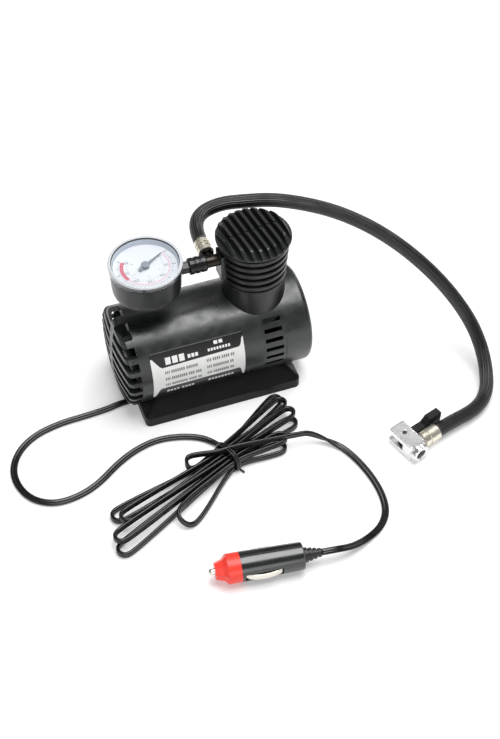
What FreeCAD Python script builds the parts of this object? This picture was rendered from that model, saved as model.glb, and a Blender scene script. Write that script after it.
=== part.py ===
import FreeCAD, Part
import math
import os

# Portable tire inflator, 12 V. Units are mm. X runs along the drum, Y to the back, Z up.
# The origin is on the floor, under the middle of the drum.

os.makedirs("parts", exist_ok=True)

V = FreeCAD.Vector
ALONG_X = V(1, 0, 0)
ALONG_Y = V(0, 1, 0)
ALONG_Z = V(0, 0, 1)

# Drum
drum_z = 40.0
drum_radius = 37.0
drum_wall = 2.2
drum_left = -72.0
drum_right = 72.0
dome_depth = 3.0
dome_rim_radius = 32.0
dome_corner_end = -63.5
right_fillet = 4.0
seam_gap = 0.12
drum_inside = drum_radius - drum_wall

# Grille in the domed end
grille_pitch = 8.8
grille_opening = 5.8
grille_rib = 6.5
grille_end = -59.3
grille_first = -3
grille_last = 4

# Side vents
vent_left = 35.1
vent_right = 48.7
vent_height = 3.4
vent_count = 6
vent_top_angle = 43.8
vent_step_angle = 12.12
panel_margin = 2.4
panel_depth = 0.35

# Foot
foot_x = 1.1
foot_length = 120.4
foot_width = 80.0
foot_corner = 4.0
foot_band = 8.0
foot_height = 19.5
foot_inset = 11.5
foot_wall = 2.4
cradle_gap = 0.1
cradle_wall = 2.2
foot_screw_x = 45.0
foot_screw_y = 20.0

# Screws
screw_radius = 1.5
screw_clear = 0.15
screw_hole = screw_radius + screw_clear
screw_head = 2.8
screw_head_height = 2.0
housing_screws_at = [(-53.0, 62.0), (-53.0, 18.0), (62.0, 62.0), (62.0, 18.0), (-12.0, 66.0)]

# Compressor
head_x = 37.7
gear_module = 0.8
pinion_teeth = 10
gear_teeth = 40
crank_z = 48.0
motor_z = crank_z - gear_module * (pinion_teeth + gear_teeth) / 2
crank_radius = 7.0
rod_length = 40.0
rod_thickness = 6.0
wrist_z = crank_z - crank_radius + rod_length
wrist_radius = 2.0
bore_radius = 10.0
piston_gap = 0.12
seal_gap = 0.04
crown_above_wrist = 8.0
cylinder_wall = 2.2
cylinder_outside = bore_radius + cylinder_wall
wrist_pin_short = 1.7
fin_reach = 1.1
running_gap = 0.05
gear_left = 24.0
gear_width = 6.0
axle_radius = 3.0
crank_pin_radius = 2.5
crank_pin_clear = 0.35

# Frame and motor
plate_left = 10.0
plate_thickness = 3.0
frame_gap = 0.5
frame_radius = drum_inside - frame_gap
deck_top = 69.5
deck_thickness = 3.5
deck_half_width = 13.0
motor_radius = 18.0
motor_length = 48.0
motor_wall = 1.0
motor_boss = 6.5
motor_screw_y = 12.5
magnet_thickness = 3.3
air_gap = 0.5
slot_depth = 5.3
slot_lip = 1.4
slot_half = 3.6
winding_gap = 0.4
shaft_radius = 1.585
commutator_radius = 5.2
brush_gap = 0.1
brush_start = 4.0
brush_width = 3.5
brush_half = 1.6
brush_reach = 12.5
sleeve_wall = 0.8

# Cylinder stack
flange_half = 13.0
flange_corner = 2.5
stack_screw = 10.6
cylinder_top = wrist_z + crown_above_wrist + 2 * crank_radius + 0.5
valve_plate_thickness = 2.0
pipe_z = 111.8

# Finned head
collar_radius = 22.9
collar_inside = 20.4
collar_top = 92.0
cap_inside = 18.5
rib_half = 1.7
rib_depth = 3.1
ribs = [(23.7, 95.5), (24.0, 102.0), (24.6, 108.6), (25.1, 115.2), (25.6, 121.6)]
cap_radius = 27.2
cap_bottom = 125.4
cap_edge = 128.0
fin_top = 132.5
fin_flat_radius = 21.5
fin_floor = 126.8
fin_pitch = 5.65
fin_thickness = 1.9
fin_count = 9
fin_turn = 7.7
cap_ceiling = 122.3
boss_left = 11.5
boss_half_width = 6.0
boss_bottom = 96.0
boss_top = 118.0

# Gauge
gauge_x = -41.85
case_radius = 25.4
case_bottom = 100.0
case_wall = 1.5
case_inside = case_radius - case_wall - 1.0
rim_step = 0.5
rim_wall = 1.3
lens_wall = 1.1
lens_gap = 0.1
lens_radius = case_radius - rim_step + lens_gap + lens_wall
lens_top = 127.0
dial_z = 120.6
dial_gap = 0.1
dial_radius = case_radius - rim_step - rim_wall - dial_gap
needle_z = 122.6
needle_length = 16.8
needle_tail = 6.0
needle_zero = 31.0
arbor_radius = 0.8
movement_module = 0.4
arbor_teeth = 12
sector_teeth = 72
sector_distance = movement_module * (arbor_teeth + sector_teeth) / 2
bourdon_margin = 4.9
bourdon_radius = case_inside - bourdon_margin
socket_margin = 1.6

# Outlet pipe
stem_radius = 3.0
nut_left = -16.6
nut_right = -11.1
nut_radius = 4.65
sleeve_radius = 6.1
sleeve_right = 2.1
tee_radius = 4.35
branch_x = 5.5
branch_radius = 3.3
ferrule_start = 9.0
ferrule_end = 20.0
ferrule_radius = 5.6
hose_radius = 5.2

# Chuck
chuck_at = (116.8, -136.0)
chuck_turn = -72.0
chuck_height = 14.0
chuck_half = 6.5
chuck_length = 28.0
mouth_length = 4.0
valve_bore = 4.0
valve_depth = 6.5
seal_radius = 4.5
seal_length = 3.0
seal_hole = 2.5
chamber_radius = 3.0
chamber_length = 1.7
port_radius = 0.7
plunger_radius = 2.0
plunger_front = 10.4
plunger_rear = 13.6
plunger_pin = 1.0
pin_recess = 0.1
ferrule_side_x = -9.5
ferrule_side_end = 23.0
lever_pivot_x = -19.0
lever_offset = 0.75
lever_length = 34.0
lever_half = 3.2

# Power lead
lead_radius = 1.35
lead_z = 1.4
exit_x = -62.6
exit_y = -12.5
exit_z = 2.05

# Hank: folds of the lead on both sides of a tie
hank_at = (-14.2, -90.7)
hank_turn = 21.0
hank_pitch = 3.4
hank_layer = 3.2
hank_lift = 1.1
hank_entry_lift = 0.4
hank_waist = 6.0
hank_strands = 6

# Plug
plug_at = (4.3, -190.5)
plug_turn = 172.4
plug_radius = 10.4
plug_rear_radius = 9.5
plug_length = 43.5
nose_collar = 9.2
nose_shoulder = 12.0
nose_length = 17.2
nose_neck_radius = 7.6
nose_end_radius = 5.9
nose_flats = 8
spigot_length = 2.2
flange_radius = 3.4
flange_length = 2.4
tip_radius = 2.2
tip_out = 4.5
fuse_radius = 3.15
fuse_length = 30.0
contact_start = 16.0
contact_end = 41.0
relief_length = 12.7


# Building blocks

def box(x0, x1, y0, y1, z0, z1):
    return Part.makeBox(x1 - x0, y1 - y0, z1 - z0, V(x0, y0, z0))


def rod_x(radius, x0, x1, y, z):
    return Part.makeCylinder(radius, x1 - x0, V(x0, y, z), ALONG_X)


def rod_y(radius, y0, y1, x, z):
    return Part.makeCylinder(radius, y1 - y0, V(x, y0, z), ALONG_Y)


def rod_z(radius, z0, z1, x, y):
    return Part.makeCylinder(radius, z1 - z0, V(x, y, z0), ALONG_Z)


def fuse(first, *others):
    return first.multiFuse(list(others)).removeSplitter()


def cut(shape, *tools):
    return shape.cut(list(tools)).removeSplitter()


def group(solids):
    return Part.makeCompound(solids)


def face_of(start, steps, place):
    """A face from a start and steps: (a, b) is a line, (a, b, c, d) an arc through a, b to c, d."""
    edges = []
    here = place(*start)
    for step in steps:
        there = place(*step[-2:])
        if len(step) == 2:
            edges.append(Part.makeLine(here, there))
        else:
            edges.append(Part.Arc(here, place(*step[:2]), there).toShape())
        here = there
    if here.distanceToPoint(place(*start)) > 1e-6:
        edges.append(Part.makeLine(here, place(*start)))
    return Part.Face(Part.Wire(edges))


def turned_z(start, steps, x=0.0, y=0.0, angle=360):
    """Turn a profile of (radius, height) about an upright axis."""
    face = face_of(start, steps, lambda r, z: V(x + r, y, z))
    return face.revolve(V(x, y, 0), ALONG_Z, angle)


def turned_x(start, steps, y=0.0, z=0.0):
    """Turn a profile of (x, radius) about an axis along X."""
    face = face_of(start, steps, lambda x, r: V(x, y, z + r))
    return face.revolve(V(0, y, z), ALONG_X, 360)


def rounded_outline(x0, x1, y0, y1, corner, z):
    """A rectangle with round corners, as a wire at one height."""
    c = corner
    k = corner * (1 - math.sqrt(0.5))
    steps = [(x1 - c, y0), (x1 - k, y0 + k, x1, y0 + c), (x1, y1 - c), (x1 - k, y1 - k, x1 - c, y1),
             (x0 + c, y1), (x0 + k, y1 - k, x0, y1 - c), (x0, y0 + c), (x0 + k, y0 + k, x0 + c, y0)]
    return face_of((x0 + c, y0), steps, lambda x, y: V(x, y, z)).OuterWire


def rounded_block(x0, x1, y0, y1, z0, z1, corner):
    wire = rounded_outline(x0, x1, y0, y1, corner, z0)
    return Part.Face(wire).extrude(V(0, 0, z1 - z0))


def polar(radius, degrees):
    a = math.radians(degrees)
    return radius * math.cos(a), radius * math.sin(a)


def turned(shape, degrees, centre=V(0, 0, 0), axis=ALONG_Z):
    copy = shape.copy()
    copy.rotate(centre, axis, degrees)
    return copy


def moved(shape, x, y, z=0.0):
    copy = shape.copy()
    copy.translate(V(x, y, z))
    return copy


def mirrored_y(shape):
    return shape.mirror(V(0, 0, 0), ALONG_Y)


def involute(angle):
    return math.tan(angle) - angle


def tooth_points(teeth, module, addendum, dedendum, backlash, centre_angle):
    """One tooth's outline, counter-clockwise, as points of a gear about the origin."""
    pressure = math.radians(25)
    pitch_radius = teeth * module / 2
    base = pitch_radius * math.cos(pressure)
    root = pitch_radius - dedendum
    tip = pitch_radius + addendum
    half = math.pi / (2 * teeth) - backlash / (2 * pitch_radius) + involute(pressure)
    start = max(base, root)
    flank = []
    if base > root:
        flank.append((root, half))
    for k in range(4):
        r = start + (tip - start) * k / 3
        flank.append((r, half - involute(math.acos(min(1.0, base / r)))))
    points = [(r, centre_angle - a) for r, a in flank]
    points += [(r, centre_angle + a) for r, a in reversed(flank)]
    return [(r * math.cos(a), r * math.sin(a)) for r, a in points]


def gear_outline(teeth, module, addendum, dedendum, backlash, phase, first=0, count=None):
    points = []
    for k in range(first, first + (count or teeth)):
        centre = phase + 2 * math.pi * k / teeth
        points += tooth_points(teeth, module, addendum, dedendum, backlash, centre)
    return points


def prism(points, place, along):
    corners = [place(a, b) for a, b in points]
    return Part.Face(Part.makePolygon(corners + corners[:1])).extrude(along)


# Cords: straight runs joined by arcs that touch both

def cord_path(points):
    """Lines and arcs along the points. Returns the wire, its length and its tightest radius."""
    edges = []
    tightest = 1e9
    here = points[0]
    for before, corner, after in zip(points, points[1:], points[2:]):
        into = corner - before
        out = after - corner
        short = min(into.Length, out.Length)
        into.normalize()
        out.normalize()
        turn = into.getAngle(out)
        reach = 0.45 * short
        radius = reach / math.tan(turn / 2)
        inward = (out - into).normalize()
        middle = corner + inward * (radius / math.cos(turn / 2) - radius)
        start = corner - into * reach
        end = corner + out * reach
        edges.append(Part.LineSegment(here, start).toShape())
        edges.append(Part.Arc(start, middle, end).toShape())
        tightest = min(tightest, radius)
        here = end
    edges.append(Part.LineSegment(here, points[-1]).toShape())
    wire = Part.Wire(edges)
    return wire, wire.Length, tightest


def cord(name, points, radius):
    """A round cord along the points, with its length, tightest arc and volume printed."""
    wire, length, tightest = cord_path(points)
    ahead = points[1] - points[0]
    section = Part.Wire([Part.makeCircle(radius, points[0], ahead)])
    solid = wire.makePipeShell([section], True, False)
    ratio = solid.Volume / (math.pi * radius ** 2 * length)
    print(f"{name}: length {length:.1f}, tightest radius {tightest:.1f}, volume ratio {ratio:.4f}")
    return solid, wire


def least_gap(wire, diameter, near):
    """The least gap of a path to itself, on points a step apart, leaving out neighbours."""
    step = 1.5
    points = wire.discretize(Distance=step)
    skip = int(near / step)
    pairs = ((a, b) for i, a in enumerate(points) for b in points[i + skip:])
    closest = min(pairs, key=lambda pair: pair[0].distanceToPoint(pair[1]))
    return closest[0].distanceToPoint(closest[1]) - diameter, closest[0]


# Drum

def drum_solid(inset):
    """The drum's outer form, or its inside when inset by the wall."""
    left = drum_left + inset
    right = drum_right - inset
    radius = drum_radius - inset
    rim_x = left + dome_depth
    rim_r = dome_rim_radius - inset / 2
    corner_x = (rim_x + dome_corner_end) / 2 - 1.25
    corner_r = (rim_r + radius) / 2 + 1.25
    fillet = right_fillet - inset
    k = fillet * (1 - math.sqrt(0.5))
    steps = [(left + 0.4 * dome_depth, 0.63 * rim_r, rim_x, rim_r),
             (corner_x, corner_r, dome_corner_end, radius),
             (right - fillet, radius),
             (right - k, radius - k, right, radius - fillet),
             (right, 0)]
    return turned_x((left, 0), steps, 0, drum_z)


def drum_bar(radius, x0=-90.0, x1=90.0):
    return rod_x(radius, x0, x1, 0, drum_z)


def grille_slots():
    slots = []
    for k in range(grille_first, grille_last + 1):
        z = drum_z + grille_pitch * k
        z0 = z - grille_opening / 2
        z1 = z + grille_opening / 2
        slots.append(box(drum_left - 5, grille_end, grille_rib / 2, drum_radius + 5, z0, z1))
        slots.append(box(drum_left - 5, grille_end, -drum_radius - 5, -grille_rib / 2, z0, z1))
    return slots


def side_vents():
    vents = []
    for k in range(vent_count):
        angle = vent_top_angle - vent_step_angle * k
        z0 = drum_z - vent_height / 2
        slot = box(vent_left, vent_right, -drum_radius - 3, -drum_inside + 4, z0, z0 + vent_height)
        slot = turned(slot, -angle, V(0, 0, drum_z), ALONG_X)
        vents.append(slot)
        vents.append(mirrored_y(slot))
    return vents


def vent_panel():
    """A shallow step round the front vents."""
    x0 = vent_left - panel_margin
    x1 = vent_right + panel_margin
    r0 = drum_radius - panel_depth
    low = vent_top_angle - vent_step_angle * (vent_count - 1) - 7
    high = vent_top_angle + 7
    steps = [(x1, r0), (x1, drum_radius + 2), (x0, drum_radius + 2)]
    face = face_of((x0, r0), steps, lambda x, r: V(x, -r, drum_z))
    sector = face.revolve(V(0, 0, drum_z), ALONG_X, -(high - low))
    return turned(sector, -low, V(0, 0, drum_z), ALONG_X)


def drum_ribs(inside):
    """Ribs that hold the frame's plate and the motor's rear end."""
    ring = drum_bar(drum_inside + 1).cut(drum_bar(drum_inside - 3.2))
    low = box(-90, 90, -50, 50, 0, 60)
    ribs = []
    left = box(plate_left - 2.3, plate_left - 0.1, -50, 50, 0, 60)
    right_x = plate_left + plate_thickness + 0.1
    right = box(right_x, right_x + 2.2, -50, 50, 0, 60)
    ribs.append(ring.common(left).common(low))
    ribs.append(ring.common(right).common(low))
    saddle = drum_bar(drum_inside + 1, -34, -32)
    saddle = saddle.common(box(-40, -30, -50, 50, 0, motor_z + 2))
    ribs.append(cut(saddle, rod_x(motor_radius + 0.15, -50, -20, 0, motor_z)))
    return [rib.common(inside) for rib in ribs]


def foot_screw_places():
    for x in (foot_x - foot_screw_x, foot_x + foot_screw_x):
        for y in (-foot_screw_y, foot_screw_y):
            yield x, y


def housing_half(side):
    """One shell of the drum: side -1 is the front, +1 the rear."""
    outer = drum_solid(0)
    inside = drum_solid(drum_wall)
    reach = drum_solid(drum_wall / 2)
    adds = drum_ribs(reach)
    for x, z in housing_screws_at:
        if side < 0:
            adds.append(rod_y(3.4, -40, 0, x, z).common(reach))
        else:
            adds.append(rod_y(4.7, 0, 40, x, z).common(reach))
    for x, y in foot_screw_places():
        adds.append(rod_z(3.6, 0, 17, x, y).common(reach))
    shell = fuse(cut(outer, inside), *adds)
    tools = grille_slots() + side_vents() + [vent_panel()]
    tools.append(rod_z(collar_radius + 0.1, 60, 90, head_x, 0))
    for x, z in housing_screws_at:
        if side < 0:
            tools.append(rod_y(screw_radius, -11, 1, x, z))
        else:
            tools.append(rod_y(screw_hole, -1, 40, x, z))
            tools.append(rod_y(screw_head + 0.2, 10, 40, x, z))
    for x, y in foot_screw_places():
        tools.append(rod_z(screw_radius, 0, 16.2, x, y))
    shell = cut(shell, *tools)
    gap = seam_gap / 2
    if side < 0:
        keep = box(-90, 90, -60, -gap, -10, 90)
    else:
        keep = box(-90, 90, gap, 60, -10, 90)
    half = shell.common(keep)
    return max(half.Solids, key=lambda s: s.Volume)


def housing_screws():
    screws = []
    for x, z in housing_screws_at:
        shank = rod_y(screw_radius, -10, 10.5, x, z)
        head = rod_y(screw_head, 10, 10 + screw_head_height, x, z)
        slot = box(x - 2.2, x + 2.2, 11, 13, z - 0.4, z + 0.4)
        screws.append(cut(fuse(shank, head), slot))
    return screws


# Foot

def foot_form(inset, drop):
    """The foot's outer form, or a smaller one inside it."""
    x0 = foot_x - foot_length / 2 + inset
    x1 = foot_x + foot_length / 2 - inset
    y1 = foot_width / 2 - inset
    corner = max(foot_corner - inset / 2, 1.0)
    band = foot_band - drop / 2
    bottom = -drop
    block = rounded_block(x0, x1, -y1, y1, bottom, band, corner)
    i = foot_inset
    low = rounded_outline(x0, x1, -y1, y1, corner, band)
    high = rounded_outline(x0 + i, x1 - i, -y1 + i, y1 - i, corner, foot_height - drop)
    return fuse(block, Part.makeLoft([low, high], True, True))


def base_plate():
    outer = foot_form(0, 0)
    cradle = drum_bar(drum_radius + cradle_gap)
    hollow = foot_form(foot_wall, foot_wall).cut(drum_bar(drum_radius + cradle_gap + cradle_wall))
    posts = []
    for x, y in foot_screw_places():
        posts.append(rod_z(4.2, 0.6, 16, x, y).common(outer))
    for x in (-30, 0, 30):
        web = box(foot_x + x - 0.9, foot_x + x + 0.9, -60, 60, 0.6, 30)
        posts.append(web.common(outer))
    foot = fuse(outer.cut(hollow), *posts)
    tools = [cradle]
    for x, y in foot_screw_places():
        tools.append(rod_z(screw_head + 0.3, -1, 5.2, x, y))
        tools.append(rod_z(screw_hole, 0, 20, x, y))
    tools.append(box(-70, -55, exit_y - 4.1, exit_y + 4.1, -1, 3.7))
    return cut(foot, *tools)


def base_screws():
    screws = []
    for x, y in foot_screw_places():
        head = rod_z(screw_head, 3.2, 5.2, x, y)
        shank = rod_z(screw_radius, 5.2, 16, x, y)
        slot = box(x - 2.2, x + 2.2, y - 0.4, y + 0.4, 3, 4.2)
        screws.append(cut(fuse(head, shank), slot))
    return screws


def cord_grommet():
    return rounded_block(exit_x, exit_x + 6.0, exit_y - 4.0, exit_y + 4.0, 0.5, 3.6, 1.2)


# Frame, motor and crank

def frame():
    x0 = plate_left
    x1 = plate_left + plate_thickness
    disc = drum_bar(frame_radius, x0, x1).common(box(x0, x1, -50, 50, 14, 60))
    neck = box(x0, x1, -deck_half_width, deck_half_width, 55, deck_top)
    deck_z = deck_top - deck_thickness
    deck = box(x0, head_x + flange_half, -deck_half_width, deck_half_width, deck_z, deck_top)
    boss = rod_x(6.0, x1 - 0.5, gear_left - 1.2, 0, crank_z)
    gussets = []
    for y in (-11.0, 8.6):
        corners = [(x1, deck_z), (x1 + 9, deck_z), (x1, deck_z - 13)]
        gussets.append(prism(corners, lambda x, z: V(x, y, z), V(0, 2.4, 0)))
    body = fuse(disc, neck, deck, boss, *gussets)
    tools = [rod_x(motor_boss + 0.1, x0 - 1, x1 + 1, 0, motor_z), rod_x(axle_radius, x0 - 1, 40, 0, crank_z)]
    tools.append(rod_z(bore_radius + 0.5, 60, 80, head_x, 0))
    for y in (-23.0, 23.0):
        tools.append(rod_x(5.5, x0 - 1, x1 + 1, y, 46))
    for y in (-motor_screw_y, motor_screw_y):
        tools.append(rod_x(screw_radius, x0 - 1, x1 + 1, y, motor_z))
    for x, y in stack_screw_places():
        tools.append(rod_z(screw_radius, deck_z - 1, deck_top + 1, x, y))
    return cut(body, *tools)


def motor_can():
    x1 = plate_left
    x0 = x1 - motor_length
    can = rod_x(motor_radius, x0, x1, 0, motor_z)
    hollow = rod_x(motor_radius - motor_wall, x0 - 1, x1 - motor_wall, 0, motor_z)
    boss = rod_x(motor_boss, x1 - 1, x1 + 4.4, 0, motor_z)
    seat = rod_x(shaft_radius + running_gap, x1 - 2, x1 + 5, 0, motor_z)
    holes = [rod_x(screw_radius, x1 - 2, x1 + 1, y, motor_z) for y in (-motor_screw_y, motor_screw_y)]
    return cut(fuse(cut(can, hollow), boss), seat, *holes)


def brush_box(side):
    """The room one brush takes: side -1 is the front, +1 the rear."""
    x0 = plate_left - motor_length + brush_start
    y0, y1 = sorted((side * (commutator_radius + brush_gap), side * brush_reach))
    return box(x0, x0 + brush_width, y0, y1, motor_z - brush_half, motor_z + brush_half)


def motor_end_bell():
    """Motor's rear cover, with a shaft seat and a sleeve for each brush."""
    x1 = plate_left - motor_length
    cap = rod_x(motor_radius, x1 - 3, x1, 0, motor_z)
    spigot = rod_x(motor_radius - motor_wall, x1 - 0.5, x1 + 3, 0, motor_z)
    inside = rod_x(motor_radius - 3, x1, x1 + 4, 0, motor_z)
    boss = rod_x(5.5, x1 - 5.5, x1 - 2.5, 0, motor_z)
    seat = rod_x(shaft_radius + running_gap, x1 - 7, x1 + 1, 0, motor_z)
    shell = cut(fuse(cap, spigot, boss), inside, seat)
    sleeves = []
    for side in (-1, 1):
        y0, y1 = sorted((side * (commutator_radius + 2.0), side * (brush_reach + 1.0)))
        depth = brush_start + brush_width + sleeve_wall
        half = brush_half + 1.2
        sleeves.append(box(x1 - 0.5, x1 + depth, y0, y1, motor_z - half, motor_z + half))
    return cut(fuse(shell, *sleeves), brush_box(-1), brush_box(1))


def magnet_inside():
    return motor_radius - motor_wall - magnet_thickness


def armature_radius():
    return magnet_inside() - air_gap


def slot_top():
    """How far out the core's slots for the coils reach."""
    return armature_radius() - slot_lip


def motor_magnets():
    outer = motor_radius - motor_wall
    ring = rod_x(outer, -28, 6, 0, motor_z).cut(rod_x(magnet_inside(), -29, 7, 0, motor_z))
    magnets = []
    for side in (-1, 1):
        keep = box(-30, 8, min(5 * side, 20 * side), max(5 * side, 20 * side), motor_z - 11, motor_z + 11)
        magnets.append(ring.common(keep).Solids[0])
    return group(magnets)


def motor_brushes():
    return group([brush_box(-1), brush_box(1)])


def motor_shaft():
    return rod_x(shaft_radius, plate_left - motor_length - 6.5, gear_left + gear_width, 0, motor_z)


def armature_core():
    core = rod_x(armature_radius(), -26, 4, 0, motor_z)
    top = slot_top()
    slots = []
    for k in range(5):
        slot = box(-27, 5, -slot_half, slot_half, top - slot_depth, top)
        mouth = box(-27, 5, -0.7, 0.7, top - 0.8, top + 3.2)
        slots.append(turned(moved(fuse(slot, mouth), 0, 0, motor_z), 72 * k, V(0, 0, motor_z), ALONG_X))
    return cut(core, rod_x(shaft_radius, -30, 10, 0, motor_z), *slots)


def armature_windings():
    """Coils that fill the slots, with their end turns."""
    coils = []
    left = plate_left - motor_length + brush_start + brush_width + sleeve_wall + 0.7
    half = slot_half - winding_gap
    for k in range(5):
        coil = box(left, 7, -half, half, slot_top() - slot_depth + winding_gap, slot_top() - winding_gap)
        coils.append(turned(moved(coil, 0, 0, motor_z), 72 * k, V(0, 0, motor_z), ALONG_X))
    return group(coils)


def commutator():
    x0 = plate_left - motor_length
    drum = rod_x(commutator_radius, x0 + 3.6, x0 + 8, 0, motor_z)
    saws = []
    for k in range(5):
        saw = box(x0 + 3, x0 + 9, -0.2, 0.2, 4.4, 6)
        saws.append(turned(moved(saw, 0, 0, motor_z), 72 * k + 36, V(0, 0, motor_z), ALONG_X))
    return cut(drum, rod_x(shaft_radius, x0, x0 + 10, 0, motor_z), *saws)


def across_x(x, z):
    """Places a flat outline (y, height) in the plane at x."""
    return lambda a, b: V(x, a, z + b)


def motor_pinion():
    m = gear_module
    points = gear_outline(pinion_teeth, m, 0.8 * m, 1.05 * m, 0.12, math.pi / 2 + math.pi / pinion_teeth)
    body = prism(points, across_x(gear_left - 0.4, motor_z), V(gear_width + 0.8, 0, 0))
    return cut(body, rod_x(shaft_radius, 0, 40, 0, motor_z))


def motor_screws():
    screws = []
    x1 = plate_left + plate_thickness
    for y in (-motor_screw_y, motor_screw_y):
        shank = rod_x(screw_radius, plate_left - 0.9, x1, y, motor_z)
        head = rod_x(screw_head, x1, x1 + 1.8, y, motor_z)
        screws.append(fuse(shank, head))
    return screws


def crank_gear():
    """Toothed wheel with a counterweight opposite the crank pin."""
    m = gear_module
    points = gear_outline(gear_teeth, m, 0.8 * m, 1.05 * m, 0.12, -math.pi / 2)
    wheel = prism(points, across_x(gear_left, crank_z), V(gear_width, 0, 0))
    web_x = gear_left + gear_width
    recess = rod_x(12.8, gear_left - 1, gear_left + 1.8, 0, crank_z)
    recess = recess.cut(rod_x(6.2, gear_left - 1, gear_left + 3, 0, crank_z))
    weight = rod_x(14.5, web_x - 0.5, web_x + 2.8, 0, crank_z)
    weight = weight.common(box(web_x - 1, web_x + 4, -14.5, 14.5, crank_z + 6.5, crank_z + 20))
    tools = [recess, rod_x(axle_radius + running_gap, gear_left - 1, web_x + 5, 0, crank_z)]
    tools.append(rod_x(crank_pin_radius, gear_left + 2.5, web_x + 1, 0, crank_z - crank_radius))
    return cut(fuse(wheel, weight), *tools)


def gear_axle():
    x1 = gear_left + gear_width
    pin = rod_x(axle_radius, plate_left + 0.2, x1 + 0.3, 0, crank_z)
    head = rod_x(4.2, x1 + 0.3, x1 + 1.4, 0, crank_z)
    return fuse(pin, head)


def crank_pin():
    x0 = gear_left + 2.5
    x1 = head_x - rod_thickness / 2 - crank_pin_clear
    return rod_x(crank_pin_radius, x0, x1, 0, crank_z - crank_radius)


def connecting_rod():
    half = rod_thickness / 2
    x0 = head_x - half
    x1 = head_x + half
    big_z = crank_z - crank_radius
    big = rod_x(7.4, x0, x1, 0, big_z)
    small = rod_x(4.6, x0, x1, 0, wrist_z)
    beam = [(-4.6, big_z), (4.6, big_z), (3.2, wrist_z), (-3.2, wrist_z)]
    beam = prism(beam, lambda y, z: V(x0 + 1, y, z), V(rod_thickness - 2, 0, 0))
    groove = [(-2.4, big_z + 9), (2.4, big_z + 9), (1.5, wrist_z - 7), (-1.5, wrist_z - 7)]
    left = prism(groove, lambda y, z: V(x0, y, z), V(2.2, 0, 0))
    right = prism(groove, lambda y, z: V(x1 - 2.2, y, z), V(2.2, 0, 0))
    holes = [rod_x(4.6, x0 - 1, x1 + 1, 0, big_z),
             rod_x(wrist_radius + running_gap, x0 - 1, x1 + 1, 0, wrist_z)]
    return cut(fuse(big, small, beam), left, right, *holes)


def rod_bearing():
    half = rod_thickness / 2
    big_z = crank_z - crank_radius
    ring = rod_x(4.6, head_x - half, head_x + half, 0, big_z)
    return cut(ring, rod_x(crank_pin_radius + running_gap, head_x - 5, head_x + 5, 0, big_z))


def wrist_pin():
    half = bore_radius - wrist_pin_short
    return rod_x(wrist_radius, head_x - half, head_x + half, 0, wrist_z)


def piston():
    """Hollow piston with a pin boss each side and a groove for the cup."""
    r = bore_radius - piston_gap
    top = wrist_z + crown_above_wrist
    bottom = wrist_z - 6.5
    under = top - 3.0
    steps = [(r, bottom), (r, top - 6.6), (r - 1.3, top - 6.6), (r - 1.3, top - 4.2), (r, top - 4.2),
             (r, top), (0, top), (0, under), (r - 2.2, under), (r - 2.2, bottom)]
    shell = turned_z((r - 2.2, bottom), steps, head_x, 0)
    bosses = []
    for side in (-1, 1):
        x0, x1 = sorted((head_x + side * (rod_thickness / 2 + 0.4), head_x + side * (bore_radius - 1.0)))
        boss = rod_x(3.8, x0, x1, 0, wrist_z)
        bosses.append(boss.common(rod_z(r - 1.5, bottom, top, head_x, 0)))
    body = fuse(shell, *bosses)
    return cut(body, wrist_pin())


def cup_seal():
    r = bore_radius - piston_gap - 1.3
    top = wrist_z + crown_above_wrist
    ring = rod_z(bore_radius - seal_gap, top - 6.5, top - 4.3, head_x, 0)
    return cut(ring, rod_z(r, top - 8, top, head_x, 0))


# Cylinder stack

def stack_screw_places():
    for x in (head_x - stack_screw, head_x + stack_screw):
        for y in (-stack_screw, stack_screw):
            yield x, y


def stack_flange(z0, z1, hole=None):
    plate = rounded_block(head_x - flange_half, head_x + flange_half, -flange_half, flange_half,
                          z0, z1, flange_corner)
    tools = [rod_z(screw_radius + 0.1, z0 - 1, z1 + 1, x, y) for x, y in stack_screw_places()]
    if hole:
        tools.append(rod_z(hole, z0 - 1, z1 + 1, head_x, 0))
    return cut(plate, *tools)


def cylinder():
    tube = rod_z(cylinder_outside, deck_top, cylinder_top, head_x, 0)
    low = stack_flange(deck_top, deck_top + 3)
    high = stack_flange(cylinder_top - 3, cylinder_top)
    fins = [rod_z(cylinder_outside + fin_reach, z, z + 1.4, head_x, 0) for z in (77, 82, 87, 92, 97)]
    body = fuse(tube, low, high, *fins)
    return cut(body, rod_z(bore_radius, deck_top - 1, cylinder_top + 1, head_x, 0))


def valve_plate():
    return stack_flange(cylinder_top, cylinder_top + valve_plate_thickness, 1.6)


def cylinder_head():
    z0 = cylinder_top + valve_plate_thickness
    plate = stack_flange(z0, z0 + 2.6)
    dome = rod_z(9.4, z0, 121, head_x, 0)
    port = rod_x(5.4, head_x - 11.5, head_x, 0, pipe_z)
    body = fuse(plate, dome, port)
    tools = [rod_z(5.2, z0 - 1, 117.5, head_x, 0), rod_x(tee_radius, head_x - 13, head_x - 6.7, 0, pipe_z),
             rod_x(2.0, head_x - 8, head_x - 4, 0, pipe_z)]
    for z in (114.5, 117.6):
        groove = rod_z(10, z, z + 1.5, head_x, 0).cut(rod_z(8.2, z - 1, z + 3, head_x, 0))
        tools.append(groove.cut(rod_x(5.4, 0, 40, 0, pipe_z)))
    return cut(body, *tools)


def outlet_valve():
    z0 = cylinder_top + valve_plate_thickness
    return fuse(rod_z(3.4, z0, z0 + 1.2, head_x, 0), rod_z(1.3, z0, z0 + 3.2, head_x, 0))


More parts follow.
